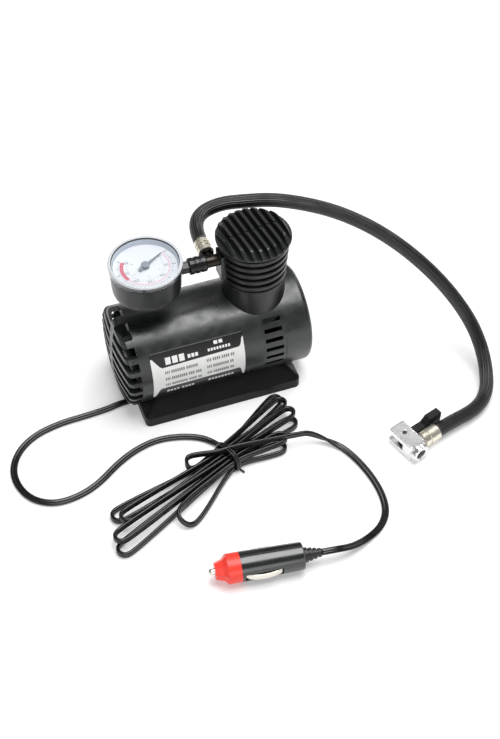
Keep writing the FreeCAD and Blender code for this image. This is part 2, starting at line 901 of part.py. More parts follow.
def valve_spring():
    """Coil of round wire, from the valve to the top of the chamber."""
    z0 = cylinder_top + valve_plate_thickness + 1.3
    z1 = 117.4
    wire = 0.3
    helix = Part.makeHelix((z1 - z0 - 2 * wire) / 4, z1 - z0 - 2 * wire, 2.3)
    side = [V(2.3 + wire * a, 0, wire * b) for a, b in ((-1, -1), (1, -1), (1, 1), (-1, 1), (-1, -1))]
    coil = Part.Wire(helix.Edges).makePipeShell([Part.makePolygon(side)], True, True)
    return moved(coil, head_x, 0, z0 + wire)


def cylinder_screws():
    z0 = cylinder_top + valve_plate_thickness + 2.6
    screws = []
    for x, y in stack_screw_places():
        shank = rod_z(screw_radius, deck_top - deck_thickness, z0, x, y)
        head = rod_z(2.6, z0, z0 + 2.4, x, y)
        screws.append(fuse(shank, head))
    return screws


# Finned head

def finned_head():
    """Ribbed cover over the cylinder, with upright fins and a flange inside the drum."""
    steps = [(collar_radius, 60), (collar_radius, collar_top - 0.6), (collar_radius - 0.6, collar_top)]
    root = ribs[0][0] - rib_depth
    steps.append((root, collar_top))
    for r, z in ribs:
        root = r - rib_depth
        steps += [(root, z - rib_half), (r - 0.5, z - rib_half), (r, z - rib_half + 0.5),
                  (r, z + rib_half - 0.5), (r - 0.5, z + rib_half), (root, z + rib_half)]
    steps += [(root, cap_bottom), (cap_radius - 0.6, cap_bottom), (cap_radius, cap_bottom + 0.6),
              (cap_radius, cap_edge), (fin_flat_radius + 1.0, fin_top - 0.5), (fin_flat_radius, fin_top),
              (0, fin_top), (0, cap_ceiling), (cap_inside, cap_ceiling), (cap_inside, collar_top - 1),
              (collar_inside, collar_top - 3.5)]
    body = turned_z((collar_inside, 60), steps, head_x, 0)
    boss = box(boss_left, head_x - cap_inside - 0.5, -boss_half_width, boss_half_width, boss_bottom, boss_top)
    body = fuse(body, boss.cut(rod_z(cap_inside, 90, 125, head_x, 0)))
    flange = rod_z(26.3, 50, 80, head_x, 0).cut(rod_z(collar_inside, 50, 80, head_x, 0))
    flange = flange.common(drum_bar(drum_inside - 0.3).cut(drum_bar(drum_inside - 2.4)))
    body = fuse(body.cut(drum_bar(drum_inside - 1.8)), flange)
    tools = [box(boss_left + 1.6, head_x - 15, -4.6, 4.6, boss_bottom + 1.8, boss_top - 1.8)]
    tools.append(rod_x(tee_radius + 0.1, boss_left - 2, head_x - 10, 0, pipe_z))
    return cut(body, *tools, *fin_channels())


def fin_channels():
    """The spaces between the fins, and one groove across their middle."""
    reach = cap_radius + 4
    spaces = []
    outermost = fin_pitch * (fin_count - 1) / 2 + fin_thickness / 2
    for k in range(fin_count - 1):
        middle = fin_pitch * (k + 0.5 - (fin_count - 1) / 2)
        half = (fin_pitch - fin_thickness) / 2
        spaces.append(box(middle - half, middle + half, -reach, reach, fin_floor, fin_top + 2))
    spaces.append(box(outermost, reach, -reach, reach, fin_floor, fin_top + 2))
    spaces.append(box(-reach, -outermost, -reach, reach, fin_floor, fin_top + 2))
    spaces.append(box(-reach, reach, -1, 1, fin_top - 1.4, fin_top + 2))
    return [moved(turned(space, fin_turn), head_x, 0) for space in spaces]


# Gauge

def gauge_case():
    r = case_radius
    b = case_bottom
    w = case_wall
    steps = [(r - 4.9, b), (r - 2.3, b + 1.1, r - 1.2, b + 3.8), (r - 0.9, b + 6), (r, b + 21.8),
             (r - rim_step, b + 21.8), (r - rim_step, b + 25.4), (dial_radius + dial_gap, b + 25.4),
             (dial_radius + dial_gap, dial_z), (dial_radius - 0.5, dial_z), (case_inside, b + 6),
             (r - w - 1.6, b + 4), (r - 5.4, b + w), (0, b + w)]
    case = turned_z((0, b), steps, gauge_x, 0)
    return cut(case, rod_x(stem_radius + 0.1, gauge_x + 15, gauge_x + 30, 0, pipe_z))


def gauge_lens():
    r = lens_radius
    inner = r - lens_wall
    steps = [(inner, lens_top - 1.4), (inner, 122.1), (r - 0.2, 122.1), (r, 122.6), (r, lens_top - 0.9),
             (r - 0.26, lens_top - 0.26, r - 0.9, lens_top), (0, lens_top)]
    return turned_z((0, lens_top - 1.4), steps, gauge_x, 0)


def gauge_dial():
    plate = rod_z(dial_radius, dial_z, dial_z + 0.6, gauge_x, 0)
    return cut(plate, rod_z(1.5, dial_z - 1, dial_z + 2, gauge_x, 0))


def gauge_needle():
    blade = [(-needle_tail, -1.3), (-needle_tail, 1.3), (0, 1.0), (needle_length, 0.2), (needle_length, -0.2),
             (0, -1.0)]
    blade = prism(blade, lambda x, y: V(x, y, needle_z), V(0, 0, 0.5))
    hub = rod_z(3.0, needle_z - 0.3, needle_z + 1.4, 0, 0)
    needle = cut(fuse(blade, hub), rod_z(arbor_radius, needle_z - 1, needle_z + 1.0, 0, 0))
    return moved(turned(needle, needle_zero), gauge_x, 0)


def movement_teeth(teeth, phase, first=0, count=None):
    m = movement_module
    return gear_outline(teeth, m, 0.75 * m, 1.05 * m, 0.07, phase, first, count)


def needle_arbor():
    points = movement_teeth(arbor_teeth, -math.pi / 2 + math.pi / arbor_teeth)
    pinion = prism(points, lambda x, y: V(x, y, 117.2), V(0, 0, 1.6))
    arbor = fuse(rod_z(arbor_radius, 114.3, needle_z + 1.0, 0, 0), pinion)
    return moved(arbor, gauge_x, 0)


def gauge_sector():
    """Toothed arm that turns the needle's arbor."""
    first = math.radians(45)
    count = 11
    teeth = movement_teeth(sector_teeth, first, 0, count)
    arm = prism([(0, 0)] + teeth, lambda x, y: V(x, y, 117.2), V(0, 0, 1.6))
    hub = rod_z(2.4, 116.4, 119.0, 0, 0)
    middle = 70
    window = rod_z(11.4, 117, 119, 0, 0).cut(rod_z(5.2, 117, 119, 0, 0))
    a0 = polar(14, middle - 17)
    a1 = polar(14, middle + 17)
    wedge = prism([(0, 0), a0, a1], lambda x, y: V(x, y, 117), V(0, 0, 2))
    sector = cut(fuse(arm, hub), window.common(wedge), rod_z(1.0 + running_gap, 116, 120, 0, 0))
    return moved(sector, gauge_x, -sector_distance)


def sector_pin():
    pin = fuse(rod_z(1.0, 114.0, 119.3, 0, 0), rod_z(1.7, 119.2, 119.8, 0, 0))
    return moved(pin, gauge_x, -sector_distance)


def movement_plate():
    plate = rounded_block(-4.5, 4.5, -sector_distance - 3, 6, 114.0, 115.2, 2.0)
    holes = [rod_z(arbor_radius + running_gap, 113, 116, 0, 0), rod_z(1.0, 113, 116, 0, -sector_distance)]
    return moved(cut(plate, *holes), gauge_x, 0)


def gauge_socket():
    """Brass block with the threaded stem, which carries the tube and the movement."""
    block_end = case_inside - socket_margin
    block = rounded_block(-5.0, block_end, -5.0, 5.0, 103.5, 114.0, 1.5)
    stem = rod_x(stem_radius, block_end - 1.3, -gauge_x - 0.2, 0, pipe_z)
    bore = rod_x(1.2, 12, -gauge_x + 1, 0, pipe_z)
    tube_seat = bourdon_ring(20, 0)
    return moved(cut(fuse(block, stem), bore, tube_seat), gauge_x, 0)


def bourdon_ring(angle, start):
    """A flattened tube bent about the gauge's middle, as a solid bar."""
    steps = [(bourdon_radius + 0.9, 105), (bourdon_radius + 1.5, 107.5, bourdon_radius + 0.9, 110),
             (bourdon_radius - 0.9, 110), (bourdon_radius - 1.5, 107.5, bourdon_radius - 0.9, 105)]
    return turned(turned_z((bourdon_radius - 0.9, 105), steps, 0, 0, angle), start)


def bourdon_tube():
    start = 6.0
    angle = 255.0
    tube = bourdon_ring(angle, start)
    end = box(bourdon_radius - 1.8, bourdon_radius + 1.8, -1.5, 1.5, 104.6, 110.4)
    return moved(fuse(tube, turned(end, start + angle)), gauge_x, 0)


# Outlet pipe

def gauge_nut():
    hexagon = [polar(nut_radius, 60 * k + 30) for k in range(6)]
    nut = prism(hexagon, across_x(nut_left, pipe_z), V(nut_right - nut_left, 0, 0))
    nut = nut.common(rod_x(nut_radius - 0.2, nut_left, nut_right, 0, pipe_z))
    return cut(nut, rod_x(stem_radius, nut_left - 1, nut_right + 1, 0, pipe_z))


def union_sleeve():
    r = sleeve_radius
    steps = [(nut_right, r - 0.8), (nut_right + 0.8, r), (-7.6, r), (-7.2, r - 0.5), (-6.4, r - 0.5), (-6.0, r),
             (-3.6, r), (-3.2, r - 0.5), (-2.4, r - 0.5), (-2.0, r), (sleeve_right - 0.8, r),
             (sleeve_right, r - 0.8), (sleeve_right, tee_radius), (0.1, tee_radius), (0.1, stem_radius)]
    return turned_x((nut_right, stem_radius), steps, 0, pipe_z)


def outlet_tee():
    run = rod_x(tee_radius, 0.2, head_x - 6.7, 0, pipe_z)
    branch = rod_y(branch_radius, 0, 14, branch_x, pipe_z)
    shoulder = rod_y(4.8, 6.6, 8.4, branch_x, pipe_z)
    bore = rod_x(2.0, 0, head_x, 0, pipe_z)
    side = rod_y(2.0, 0, 15, branch_x, pipe_z)
    return cut(fuse(run, branch, shoulder), bore, side)


def hose_ferrule():
    r = ferrule_radius
    body = rod_y(r, ferrule_start, ferrule_end, branch_x, pipe_z)
    grooves = []
    for y in (12.4, 15.6):
        groove = rod_y(r + 1, y, y + 1.0, branch_x, pipe_z).cut(rod_y(r - 0.5, y, y + 1.0, branch_x, pipe_z))
        grooves.append(groove)
    thread = rod_y(branch_radius, ferrule_start - 1, 14, branch_x, pipe_z)
    return cut(body, thread, rod_y(2.2, 13, 21, branch_x, pipe_z), *grooves)


# Chuck: built with its mouth towards +X at the origin, then laid in place

def lay_chuck(shape):
    return moved(turned(shape, chuck_turn), *chuck_at)


def chuck_point(x, y, z):
    ahead = polar(1, chuck_turn)
    side = polar(1, chuck_turn + 90)
    return V(chuck_at[0] + x * ahead[0] + y * side[0], chuck_at[1] + x * ahead[1] + y * side[1], z)


def chuck_body():
    """Block with the valve's bore, the seal's recess, and an air chamber that the hose feeds from the side."""
    z = chuck_height / 2
    block = rounded_block(-chuck_length, -mouth_length, -chuck_half, chuck_half, 0, chuck_height, 1.5)
    mouth = rod_x(z - 0.1, -mouth_length - 1, 0, 0, z)
    socket = rod_y(4.6, 0, 9, ferrule_side_x, z)
    seal_end = -valve_depth - seal_length
    chamber_end = seal_end - chamber_length
    tools = [rod_x(valve_bore, -valve_depth - 0.5, 1, 0, z)]
    tools.append(rod_x(seal_radius, seal_end, -valve_depth, 0, z))
    tools.append(rod_x(chamber_radius, chamber_end, seal_end + 0.5, 0, z))
    tools.append(rod_x(plunger_radius + running_gap, -20, chamber_end + 0.5, 0, z))
    tools.append(rod_y(port_radius, 0, 10, seal_end - chamber_length / 2, z))
    tools.append(box(-chuck_length - 1, -13.2, -20, 20, 4.1, 9.9))
    tools.append(rod_z(screw_radius, -1, 20, lever_pivot_x, 0))
    return lay_chuck(cut(fuse(block, mouth, socket), *tools))


def chuck_ferrule():
    z = chuck_height / 2
    body = rod_y(5.9, 9.0, ferrule_side_end, ferrule_side_x, z)
    waist = rod_y(7, 13.5, 14.6, ferrule_side_x, z).cut(rod_y(5.3, 13, 15, ferrule_side_x, z))
    return lay_chuck(cut(body, waist, rod_y(2.2, 8, 24, ferrule_side_x, z)))


def chuck_lever():
    """Thumb lever with an eccentric boss that pushes the plunger."""
    boss = rod_z(4.4, 4.4, 9.6, lever_pivot_x + lever_offset, 0)
    arm = rounded_block(lever_pivot_x - lever_half, lever_pivot_x + lever_half - 0.3, -2, lever_length, 4.4, 9.6, 1.4)
    rise = [(17.5, 9.0), (lever_length - 0.4, 9.0), (lever_length - 0.4, 14.2), (22.5, 14.2)]
    x0 = lever_pivot_x - lever_half + 0.2
    pad = prism(rise, lambda y, z: V(x0, y, z), V(2 * lever_half - 0.7, 0, 0))
    return lay_chuck(cut(fuse(boss, arm, pad), rod_z(screw_radius + running_gap, 0, 20, lever_pivot_x, 0)))


def lever_pin():
    return lay_chuck(rod_z(screw_radius, 0.2, chuck_height + 0.3, lever_pivot_x, 0))


def chuck_plunger():
    """Plunger whose pin ends just inside the seal, and comes forward when the lever is down."""
    z = chuck_height / 2
    head = rod_x(plunger_radius, -plunger_rear, -plunger_front, 0, z)
    pin = rod_x(plunger_pin, -plunger_front - 0.5, -valve_depth - pin_recess, 0, z)
    return lay_chuck(fuse(head, pin))


def chuck_seal():
    z = chuck_height / 2
    ring = rod_x(seal_radius, -valve_depth - seal_length, -valve_depth, 0, z)
    return lay_chuck(cut(ring, rod_x(seal_hole, -20, 0, 0, z)))


# Hose and power lead

def hose_points():
    start = V(branch_x, ferrule_end, pipe_z)
    end = chuck_point(ferrule_side_x, ferrule_side_end, chuck_height / 2)
    ahead = chuck_point(ferrule_side_x, ferrule_side_end + 12, chuck_height / 2)
    middle = [(5.5, 34, pipe_z), (12.5, 46.6, 114.6), (29, 48.4, 118), (47, 44.4, 118.4), (67, 41.4, 116.4),
              (88, 34.9, 112), (110, 26.6, 105), (132, 15.4, 94.5), (152, 0.5, 82), (169.5, -17.8, 67.5),
              (183.5, -35, 51), (193, -52, 34), (196.4, -67.5, 19.5), (194, -83, 9.5), (185.5, -97.5, 5.8),
              (172, -108, 5.4)]
    return [start] + [V(*p) for p in middle] + [ahead, end]


def lead_points():
    start = V(exit_x, exit_y, exit_z)
    straight = V(exit_x - 9, exit_y, exit_z)
    hank = hank_points()
    back = (hank[1] - hank[0]).normalize() * -9.5
    flat = [(-82, -14), (-98, -15), (-118, -15.4), (-138, -20), (-152.5, -30), (-161, -44), (-162, -60), (-155.5, -76),
            (-141.5, -85.2), (-124, -84.8), (-107, -78.6), (-91, -67), (-75, -58.6), (-57, -54.2),
            (-39, -57), (-25, -63.2), (-17.4, -71.5)]
    flat = [V(x, y, lead_z) for x, y in flat]
    return [start, straight] + flat + [hank[0] + back, hank[0]]


def hank_point(s, t, z):
    """A place in the hank: s along it from the tie, t across it."""
    along = polar(1, hank_turn)
    across = polar(1, hank_turn + 90)
    return V(hank_at[0] + s * along[0] + t * across[0], hank_at[1] + s * along[1] + t * across[1], z)


def fold(length, angle, half, z_in, z_out, upper_first):
    """The two corners of a fold that lies at an angle and a distance from the tie."""
    s, t = polar(length, angle)
    ns, nt = polar(half, angle + 90)
    if nt < 0:
        ns, nt = -ns, -nt
    first = (s + ns, t + nt)
    second = (s - ns, t - nt)
    if not upper_first:
        first, second = second, first
    return [hank_point(*first, z_in), hank_point(*second, z_out)]


def hank_points():
    """Two layers of six strands, folded right and left, then one strand back over them."""
    right_folds = [(69.9, 17.5, 5.2), (61.4, -3.5, 5.2), (43.0, -23.5, 5.2)]
    left_folds = [(94.5, 172.0, 6.0), (108.7, 187.0, 6.0)]
    low = lead_z
    high = lead_z + hank_layer

    def waist(strand, layer, heading):
        t = (strand - (hank_strands - 1) / 2) * hank_pitch
        z = low + hank_lift + layer * hank_layer
        return [hank_point(-heading * hank_waist, t, z), hank_point(heading * hank_waist, t, z)]

    points = [hank_point(15.5, 11.8, low + hank_entry_lift)]
    for k, (length, angle, half) in enumerate(right_folds):
        points += fold(length, angle, half, low, low, True)
        points += waist(4 - 2 * k, 0, -1)
        if k < len(left_folds):
            points += fold(*left_folds[k], low, low, True)
            points += waist(3 - 2 * k, 0, 1)
    points += fold(59.9, 205.0, 6.0, low, high, False)
    points += waist(0, 1, 1)
    for k, (length, angle, half) in enumerate(reversed(right_folds)):
        points += fold(length, angle, half, high, high, False)
        points += waist(1 + 2 * k, 1, -1)
        if k < len(left_folds):
            points += fold(*left_folds[-1 - k], high, high, False)
            points += waist(2 + 2 * k, 1, 1)
    top = low + hank_lift + 2 * hank_layer
    points += fold(36.0, 145.0, 4.8, high, top - hank_lift + 0.4, False)
    points += [hank_point(-hank_waist, 3.0, top), hank_point(hank_waist, -0.5, top)]
    points.append(hank_point(46.1, -15.1, high + hank_layer))
    return points


def tail_points():
    hank = hank_points()
    start = hank[-1]
    ahead = (hank[-1] - hank[-2]).normalize() * 9
    end = plug_point(-relief_length, 0, plug_radius)
    straight = plug_point(-relief_length - 11, 0, plug_radius)
    middle = [(53, -93.5, 3.4), (60.5, -101.5, 1.6), (66, -109.5, lead_z), (72.8, -124.5, lead_z),
              (76.6, -141, lead_z), (77.7, -157, lead_z), (74.8, -171, lead_z), (66.2, -181, lead_z),
              (53.5, -187.5, 2.2), (40.5, -192.3, 6.0)]
    return [start, start + ahead] + [V(*p) for p in middle] + [straight, end]


def hank_tie():
    """A flat band round the strands."""
    half = hank_strands / 2 * hank_pitch + 0.6
    top = lead_z + hank_lift + 2 * hank_layer + lead_radius + 0.3
    outer = rounded_block(-half - 0.9, half + 0.9, 0.1, top + 0.9, -2.2, 2.2, 3.0)
    inner = rounded_block(-half, half, 1.0, top, -3, 3, 2.2)
    band = cut(outer, inner)
    band.rotate(V(0, 0, 0), ALONG_X, 90)
    band.rotate(V(0, 0, 0), ALONG_Z, 90)
    return moved(turned(band, hank_turn), *hank_at)


# Plug: built along +X with its rear end at the origin, then laid in place

def lay_plug(shape):
    return moved(turned(shape, plug_turn), plug_at[0], plug_at[1], plug_radius)


def plug_point(x, y, z):
    ahead = polar(1, plug_turn)
    side = polar(1, plug_turn + 90)
    return V(plug_at[0] + x * ahead[0] + y * side[0], plug_at[1] + x * ahead[1] + y * side[1], z)


def plug_body():
    steps = [(0.8, plug_rear_radius), (plug_length - 3, plug_radius), (plug_length, plug_radius),
             (plug_length, 8.0), (2.5, 7.6), (2.5, 2.2), (0, 2.2)]
    body = turned_x((0, plug_rear_radius - 0.8), steps)
    slot = box(contact_start - 0.6, contact_end + 0.6, -15, 15, -2.9, 2.9)
    return lay_plug(cut(body, slot))


def plug_nose():
    """Screwed cap: a smooth collar, then a shoulder and a neck with flats."""
    x0 = plug_length
    x2 = x0 + nose_length
    collar = rod_x(plug_radius, x0, x0 + nose_collar, 0, 0)
    rings = []
    for x, r in ((x0 + nose_collar, plug_radius - 0.1), (x0 + nose_shoulder, nose_neck_radius), (x2, nose_end_radius)):
        corners = [V(x, *polar(r, 360 / nose_flats * (k + 0.5))) for k in range(nose_flats)]
        rings.append(Part.makePolygon(corners + corners[:1]))
    shoulder = Part.makeLoft(rings[:2], True, True)
    neck = Part.makeLoft(rings[1:], True, True)
    spigot = rod_x(7.6, x0 - spigot_length, x0, 0, 0)
    hollow = rod_x(flange_radius + 0.2, x0 - 6, tip_rear() + flange_length + 0.2, 0, 0)
    tip_hole = rod_x(tip_radius + 0.1, x0, x2 + 1, 0, 0)
    return lay_plug(cut(fuse(collar, shoulder, neck, spigot), hollow, tip_hole))


def tip_rear():
    return plug_length + 8.5


def plug_tip():
    x2 = plug_length + nose_length + tip_out
    r = tip_radius
    front = tip_rear() + flange_length
    steps = [(tip_rear(), flange_radius), (front, flange_radius), (front, r), (x2 - r, r),
             (x2 - r + r * math.sqrt(0.5), r * math.sqrt(0.5), x2, 0)]
    return lay_plug(turned_x((tip_rear(), 0), steps))


def plug_fuse():
    """Glass fuse with a metal cap at each end."""
    x1 = tip_rear()
    x0 = x1 - fuse_length
    glass = rod_x(fuse_radius - 0.25, x0, x1, 0, 0)
    caps = [rod_x(fuse_radius, x, x + 6, 0, 0) for x in (x0, x1 - 6)]
    return lay_plug(fuse(glass, *caps))


def fuse_spring():
    """Coil between the fuse and the plug's rear wall, at its pressed length."""
    x0 = 3.0
    x1 = tip_rear() - fuse_length - 2.7
    wire = 0.4
    length = x1 - x0 - 2 * wire
    helix = Part.makeHelix(length / 5, length, 3.2)
    side = [V(3.2 + wire * a, 0, wire * b) for a, b in ((-1, -1), (1, -1), (1, 1), (-1, 1), (-1, -1))]
    coil = Part.Wire(helix.Edges).makePipeShell([Part.makePolygon(side)], True, True)
    coil.rotate(V(0, 0, 0), ALONG_Y, 90)
    return lay_plug(moved(coil, x0 + wire, 0))


def side_contact(side):
    """Bowed spring strip in the plug's side: side +1 faces the front."""
    middle = (contact_start + contact_end) / 2
    out = plug_radius + 0.8
    low = plug_radius - 1.6
    steps = [(middle, out, contact_end, low), (contact_end, low - 0.6), (middle, out - 0.6, contact_start, low - 0.6)]
    strip = face_of((contact_start, low), steps, lambda x, y: V(x, side * y, -2.5)).extrude(V(0, 0, 5.0))
    return lay_plug(strip)


def plug_relief():
    """Stepped rubber sleeve at the plug's rear."""
    steps = [(-relief_length, 2.6)]
    r = 2.6
    for k in range(4):
        x = -relief_length + k * relief_length / 4
        steps += [(x + 0.3, r + 0.5), (x + 2.2, r + 0.6), (x + 2.2, r + 0.1), (x + relief_length / 4, r + 0.1)]
        r += 0.7
    steps += [(0, 5.2), (0, 2.1), (4.0, 2.1), (4.0, 0)]
    return lay_plug(turned_x((-relief_length, 0), steps))


# Output: one file for each node

def save(name, shape):
    if not shape.isValid():
        print(f"{name} isn't valid")
    shape.exportStep(f"parts/{name}.step")
    counts[name] = len(shape.Solids)


counts = {}

save("housing_front", housing_half(-1))
save("housing_rear", housing_half(1))
save("base_plate", base_plate())
save("case_screws", group(housing_screws() + base_screws()))
save("cord_grommet", cord_grommet())
save("frame", frame())
save("motor_can", motor_can())
save("motor_end_bell", motor_end_bell())
save("motor_magnets", motor_magnets())
save("motor_brushes", motor_brushes())
save("motor_shaft", group([motor_shaft(), motor_pinion()]))
save("armature_core", armature_core())
save("armature_windings", armature_windings())
save("commutator", commutator())
save("crank_gear", crank_gear())
save("gear_axle", gear_axle())
save("crank_pin", crank_pin())
save("connecting_rod", connecting_rod())
save("rod_bearing", rod_bearing())
save("wrist_pin", wrist_pin())
save("piston", piston())
save("cup_seal", cup_seal())
save("cylinder", cylinder())
save("valve_plate", valve_plate())
save("cylinder_head", cylinder_head())
save("outlet_valve", outlet_valve())
save("valve_spring", valve_spring())
save("machine_screws", group(cylinder_screws() + motor_screws()))
save("finned_head", finned_head())
save("gauge_case", gauge_case())
save("gauge_lens", gauge_lens())
save("gauge_dial", gauge_dial())
save("gauge_needle", gauge_needle())
save("needle_arbor", needle_arbor())
save("gauge_movement", group([movement_plate(), sector_pin()]))
save("gauge_sector", gauge_sector())
save("bourdon_tube", group([gauge_socket(), bourdon_tube()]))
save("union_sleeve", group([union_sleeve(), gauge_nut()]))
save("outlet_tee", outlet_tee())
save("hose_ferrule", hose_ferrule())
save("air_hose", cord("air_hose", hose_points(), hose_radius)[0])
save("chuck_ferrule", chuck_ferrule())
save("chuck_body", chuck_body())
save("chuck_seal", chuck_seal())
save("chuck_plunger", chuck_plunger())
save("chuck_lever", chuck_lever())
save("lever_pin", lever_pin())
save("cord_lead", cord("cord_lead", lead_points(), lead_radius)[0])
hank, hank_wire = cord("cord_hank", hank_points(), lead_radius)
gap, place = least_gap(hank_wire, 2 * lead_radius, 12)
print(f"cord_hank: least gap to itself {gap:.2f} near {place}")
save("cord_hank", hank)
save("hank_tie", hank_tie())
save("cord_tail", cord("cord_tail", tail_points(), lead_radius)[0])
save("plug_body", plug_body())
save("plug_nose", plug_nose())
save("plug_tip", plug_tip())
save("plug_fuse", plug_fuse())
save("fuse_spring", fuse_spring())
save("side_contact_front", side_contact(1))
save("side_contact_rear", side_contact(-1))
save("plug_relief", plug_relief())
print(len(counts), "nodes")
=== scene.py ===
# %% [markdown]
# # A 12 V tire inflator, finished for the camera
#
# The imported model gives every hard part in its true place: the drum, the foot, the finned head, the
# gauge, the chuck and the plug. This lesson adds what a solid model leaves out: the hose and the power
# lead as soft things, the printed dial and label, and a finish for each material. Places are written in
# millimetres where that reads best, and turned into metres, the unit of the model's own frame.

# %% Load the frame
import math
import random

import bmesh
import bpy
from mathutils import Matrix, Vector


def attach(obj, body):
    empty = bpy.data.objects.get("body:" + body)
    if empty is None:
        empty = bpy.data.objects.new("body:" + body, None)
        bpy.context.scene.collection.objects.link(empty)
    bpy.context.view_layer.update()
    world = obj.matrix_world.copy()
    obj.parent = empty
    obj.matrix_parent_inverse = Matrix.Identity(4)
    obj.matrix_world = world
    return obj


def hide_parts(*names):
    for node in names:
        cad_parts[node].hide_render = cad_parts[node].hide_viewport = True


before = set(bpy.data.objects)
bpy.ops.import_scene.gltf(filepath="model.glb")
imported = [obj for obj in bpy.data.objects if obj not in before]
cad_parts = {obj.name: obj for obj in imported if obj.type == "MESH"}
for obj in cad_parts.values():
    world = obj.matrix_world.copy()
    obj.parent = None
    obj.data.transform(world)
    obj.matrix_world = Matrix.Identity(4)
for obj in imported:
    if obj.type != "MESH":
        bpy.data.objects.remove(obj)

MM = 0.001
scene = bpy.context.scene
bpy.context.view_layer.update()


def mm(*values):
    """A place given in millimetres, as a vector in metres."""
    return Vector([value * MM for value in values])


# %% [markdown]
# ## The camera
#
# The picture was taken from the front left, looking down steeply, from a little over a metre away. The
# place and the three angles come from fitting the model's edges to the picture. The lens is long, so there
# is little perspective. A camera looks along its own -Z, so its matrix is built from the right, up and
# backward directions.

# %% Place the camera
CAMERA_AT = (-0.2302, -0.7215, 0.8497)
LENS = 73.07
SENSOR = 36.0
heading = math.radians(20.227)
down = math.radians(48.330)
roll = math.radians(0.317)

forward = Vector((math.sin(heading) * math.cos(down), math.cos(heading) * math.cos(down), -math.sin(down)))
level_right = Vector((math.cos(heading), -math.sin(heading), 0))
level_up = level_right.cross(forward)
right = math.cos(roll) * level_right + math.sin(roll) * level_up
up = -math.sin(roll) * level_right + math.cos(roll) * level_up

camera_data = bpy.data.cameras.new("camera")
camera_data.lens = LENS
camera_data.sensor_width = SENSOR
camera_data.sensor_fit = "AUTO"
camera = bpy.data.objects.new("camera", camera_data)
scene.collection.objects.link(camera)
turn = Matrix((right, up, -forward)).transposed()
camera.matrix_world = Matrix.Translation(CAMERA_AT) @ turn.to_4x4()
scene.camera = camera
scene.view_settings.view_transform = "Standard"
print("camera looks along", [round(v, 3) for v in forward])

# %% [markdown]
# ## Cords follow smooth lines
#
# A hose or a lead bends in one smooth line. A NURBS spline of order 3 gives that from a few listed
# points: the line is drawn towards them and rounds every corner. The order and the end setting are made
# after the points are added, because before that they have no effect. A curve without a bevel turns into
# a mesh of close-set vertices along the line, and those carry the outline of the hose or lead from end to
# end.

# %% Read a smooth line and carry an outline along it


def smooth_line(points, resolution):
    """Close-set places along the spline that has these control points."""
    curve = bpy.data.curves.new("line", "CURVE")
    curve.dimensions = "3D"
    spline = curve.splines.new("NURBS")
    spline.points.add(len(points) - 1)
    for point, place in zip(spline.points, points):
        point.co = (*place, 1.0)
    spline.order_u = 3
    spline.use_endpoint_u = True
    spline.resolution_u = resolution
    carrier = bpy.data.objects.new("line", curve)
    scene.collection.objects.link(carrier)
    mesh = bpy.data.meshes.new_from_object(carrier)
    places = [vertex.co.copy() for vertex in mesh.vertices]
    bpy.data.objects.remove(carrier)
    bpy.data.curves.remove(curve)
    bpy.data.meshes.remove(mesh)
    return places


def lengths_along(places):
    """How far along the line each place is."""
    far = [0.0]
    for a, b in zip(places, places[1:]):
        far.append(far[-1] + (b - a).length)
    return far


def directions(places):
    """Which way the line runs at each place."""
    last = len(places) - 1
    return [(places[min(i + 1, last)] - places[max(i - 1, 0)]).normalized() for i in range(last + 1)]


def mesh_from(bm, name):
    """Turns a finished bmesh into a mesh."""
    mesh = bpy.data.meshes.new(name)
    bm.to_mesh(mesh)
    bm.free()
    return mesh


def tube_mesh(name, places, rings):
    """A closed tube through rings of corners. Its UV map holds u, once round, and v, the length so far."""
    far = lengths_along(places)
    bm = bmesh.new()
    uv = bm.loops.layers.uv.new("along")
    rings = [[bm.verts.new(corner) for corner in ring] for ring in rings]
    count = len(rings[0])
    for i in range(len(rings) - 1):
        for k in range(count):
            k2 = (k + 1) % count
            face = bm.faces.new((rings[i][k], rings[i][k2], rings[i + 1][k2], rings[i + 1][k]))
            face.smooth = True
            corners = ((k, i), (k + 1, i), (k + 1, i + 1), (k, i + 1))
            for loop, (u, v) in zip(face.loops, corners):
                loop[uv].uv = (u / count, far[v])
    bm.faces.new(rings[0])
    bm.faces.new(list(reversed(rings[-1])))
    bmesh.ops.recalc_face_normals(bm, faces=bm.faces)
    return mesh_from(bm, name)


def swept_mesh(name, places, outline, rolls):
    """A tube: the outline's (across, up) corners at every place, turned about the line by its roll."""
    rings = []
    for place, ahead, angle in zip(places, directions(places), rolls):
        side = ahead.cross(Vector((0, 0, 1))).normalized()
        over = side.cross(ahead)
        wide = math.cos(angle) * side + math.sin(angle) * over
        thin = wide.cross(ahead)
        rings.append([place + wide * a + thin * b for a, b in outline])
    return tube_mesh(name, places, rings)


def round_outline(radius, count):
    """The corners of a circle, in metres, for a radius in millimetres."""
    turns = [math.tau * k / count for k in range(count)]
    return [(radius * MM * math.cos(a), radius * MM * math.sin(a)) for a in turns]


def new_piece(name, mesh, material=None):
    """An object for a finished mesh, which rides on the pump."""
    piece = bpy.data.objects.new(name, mesh)
    scene.collection.objects.link(piece)
    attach(piece, "pump")
    if material:
        mesh.materials.append(material)
    return piece


test_line = smooth_line([mm(0, 0, 0), mm(30, 0, 0), mm(30, 30, 0)], 8)
print("a corner of 30 and 30 mm is rounded to", round(lengths_along(test_line)[-1] / MM, 1), "mm")

# %% [markdown]
# ## The air hose
#
# The hose is thick rubber over a textile layer, so it is stiff. It leaves its ferrule straight to the
# back, rises a little, swings over to the right and comes down to the floor in one wide arc before it
# turns back into the chuck. Its outline is a plain circle, fine enough to look round close up.

# %% Lay the air hose
HOSE_RADIUS = 5.2
HOSE_SIDES = 32
PIPE_Z = 111.8

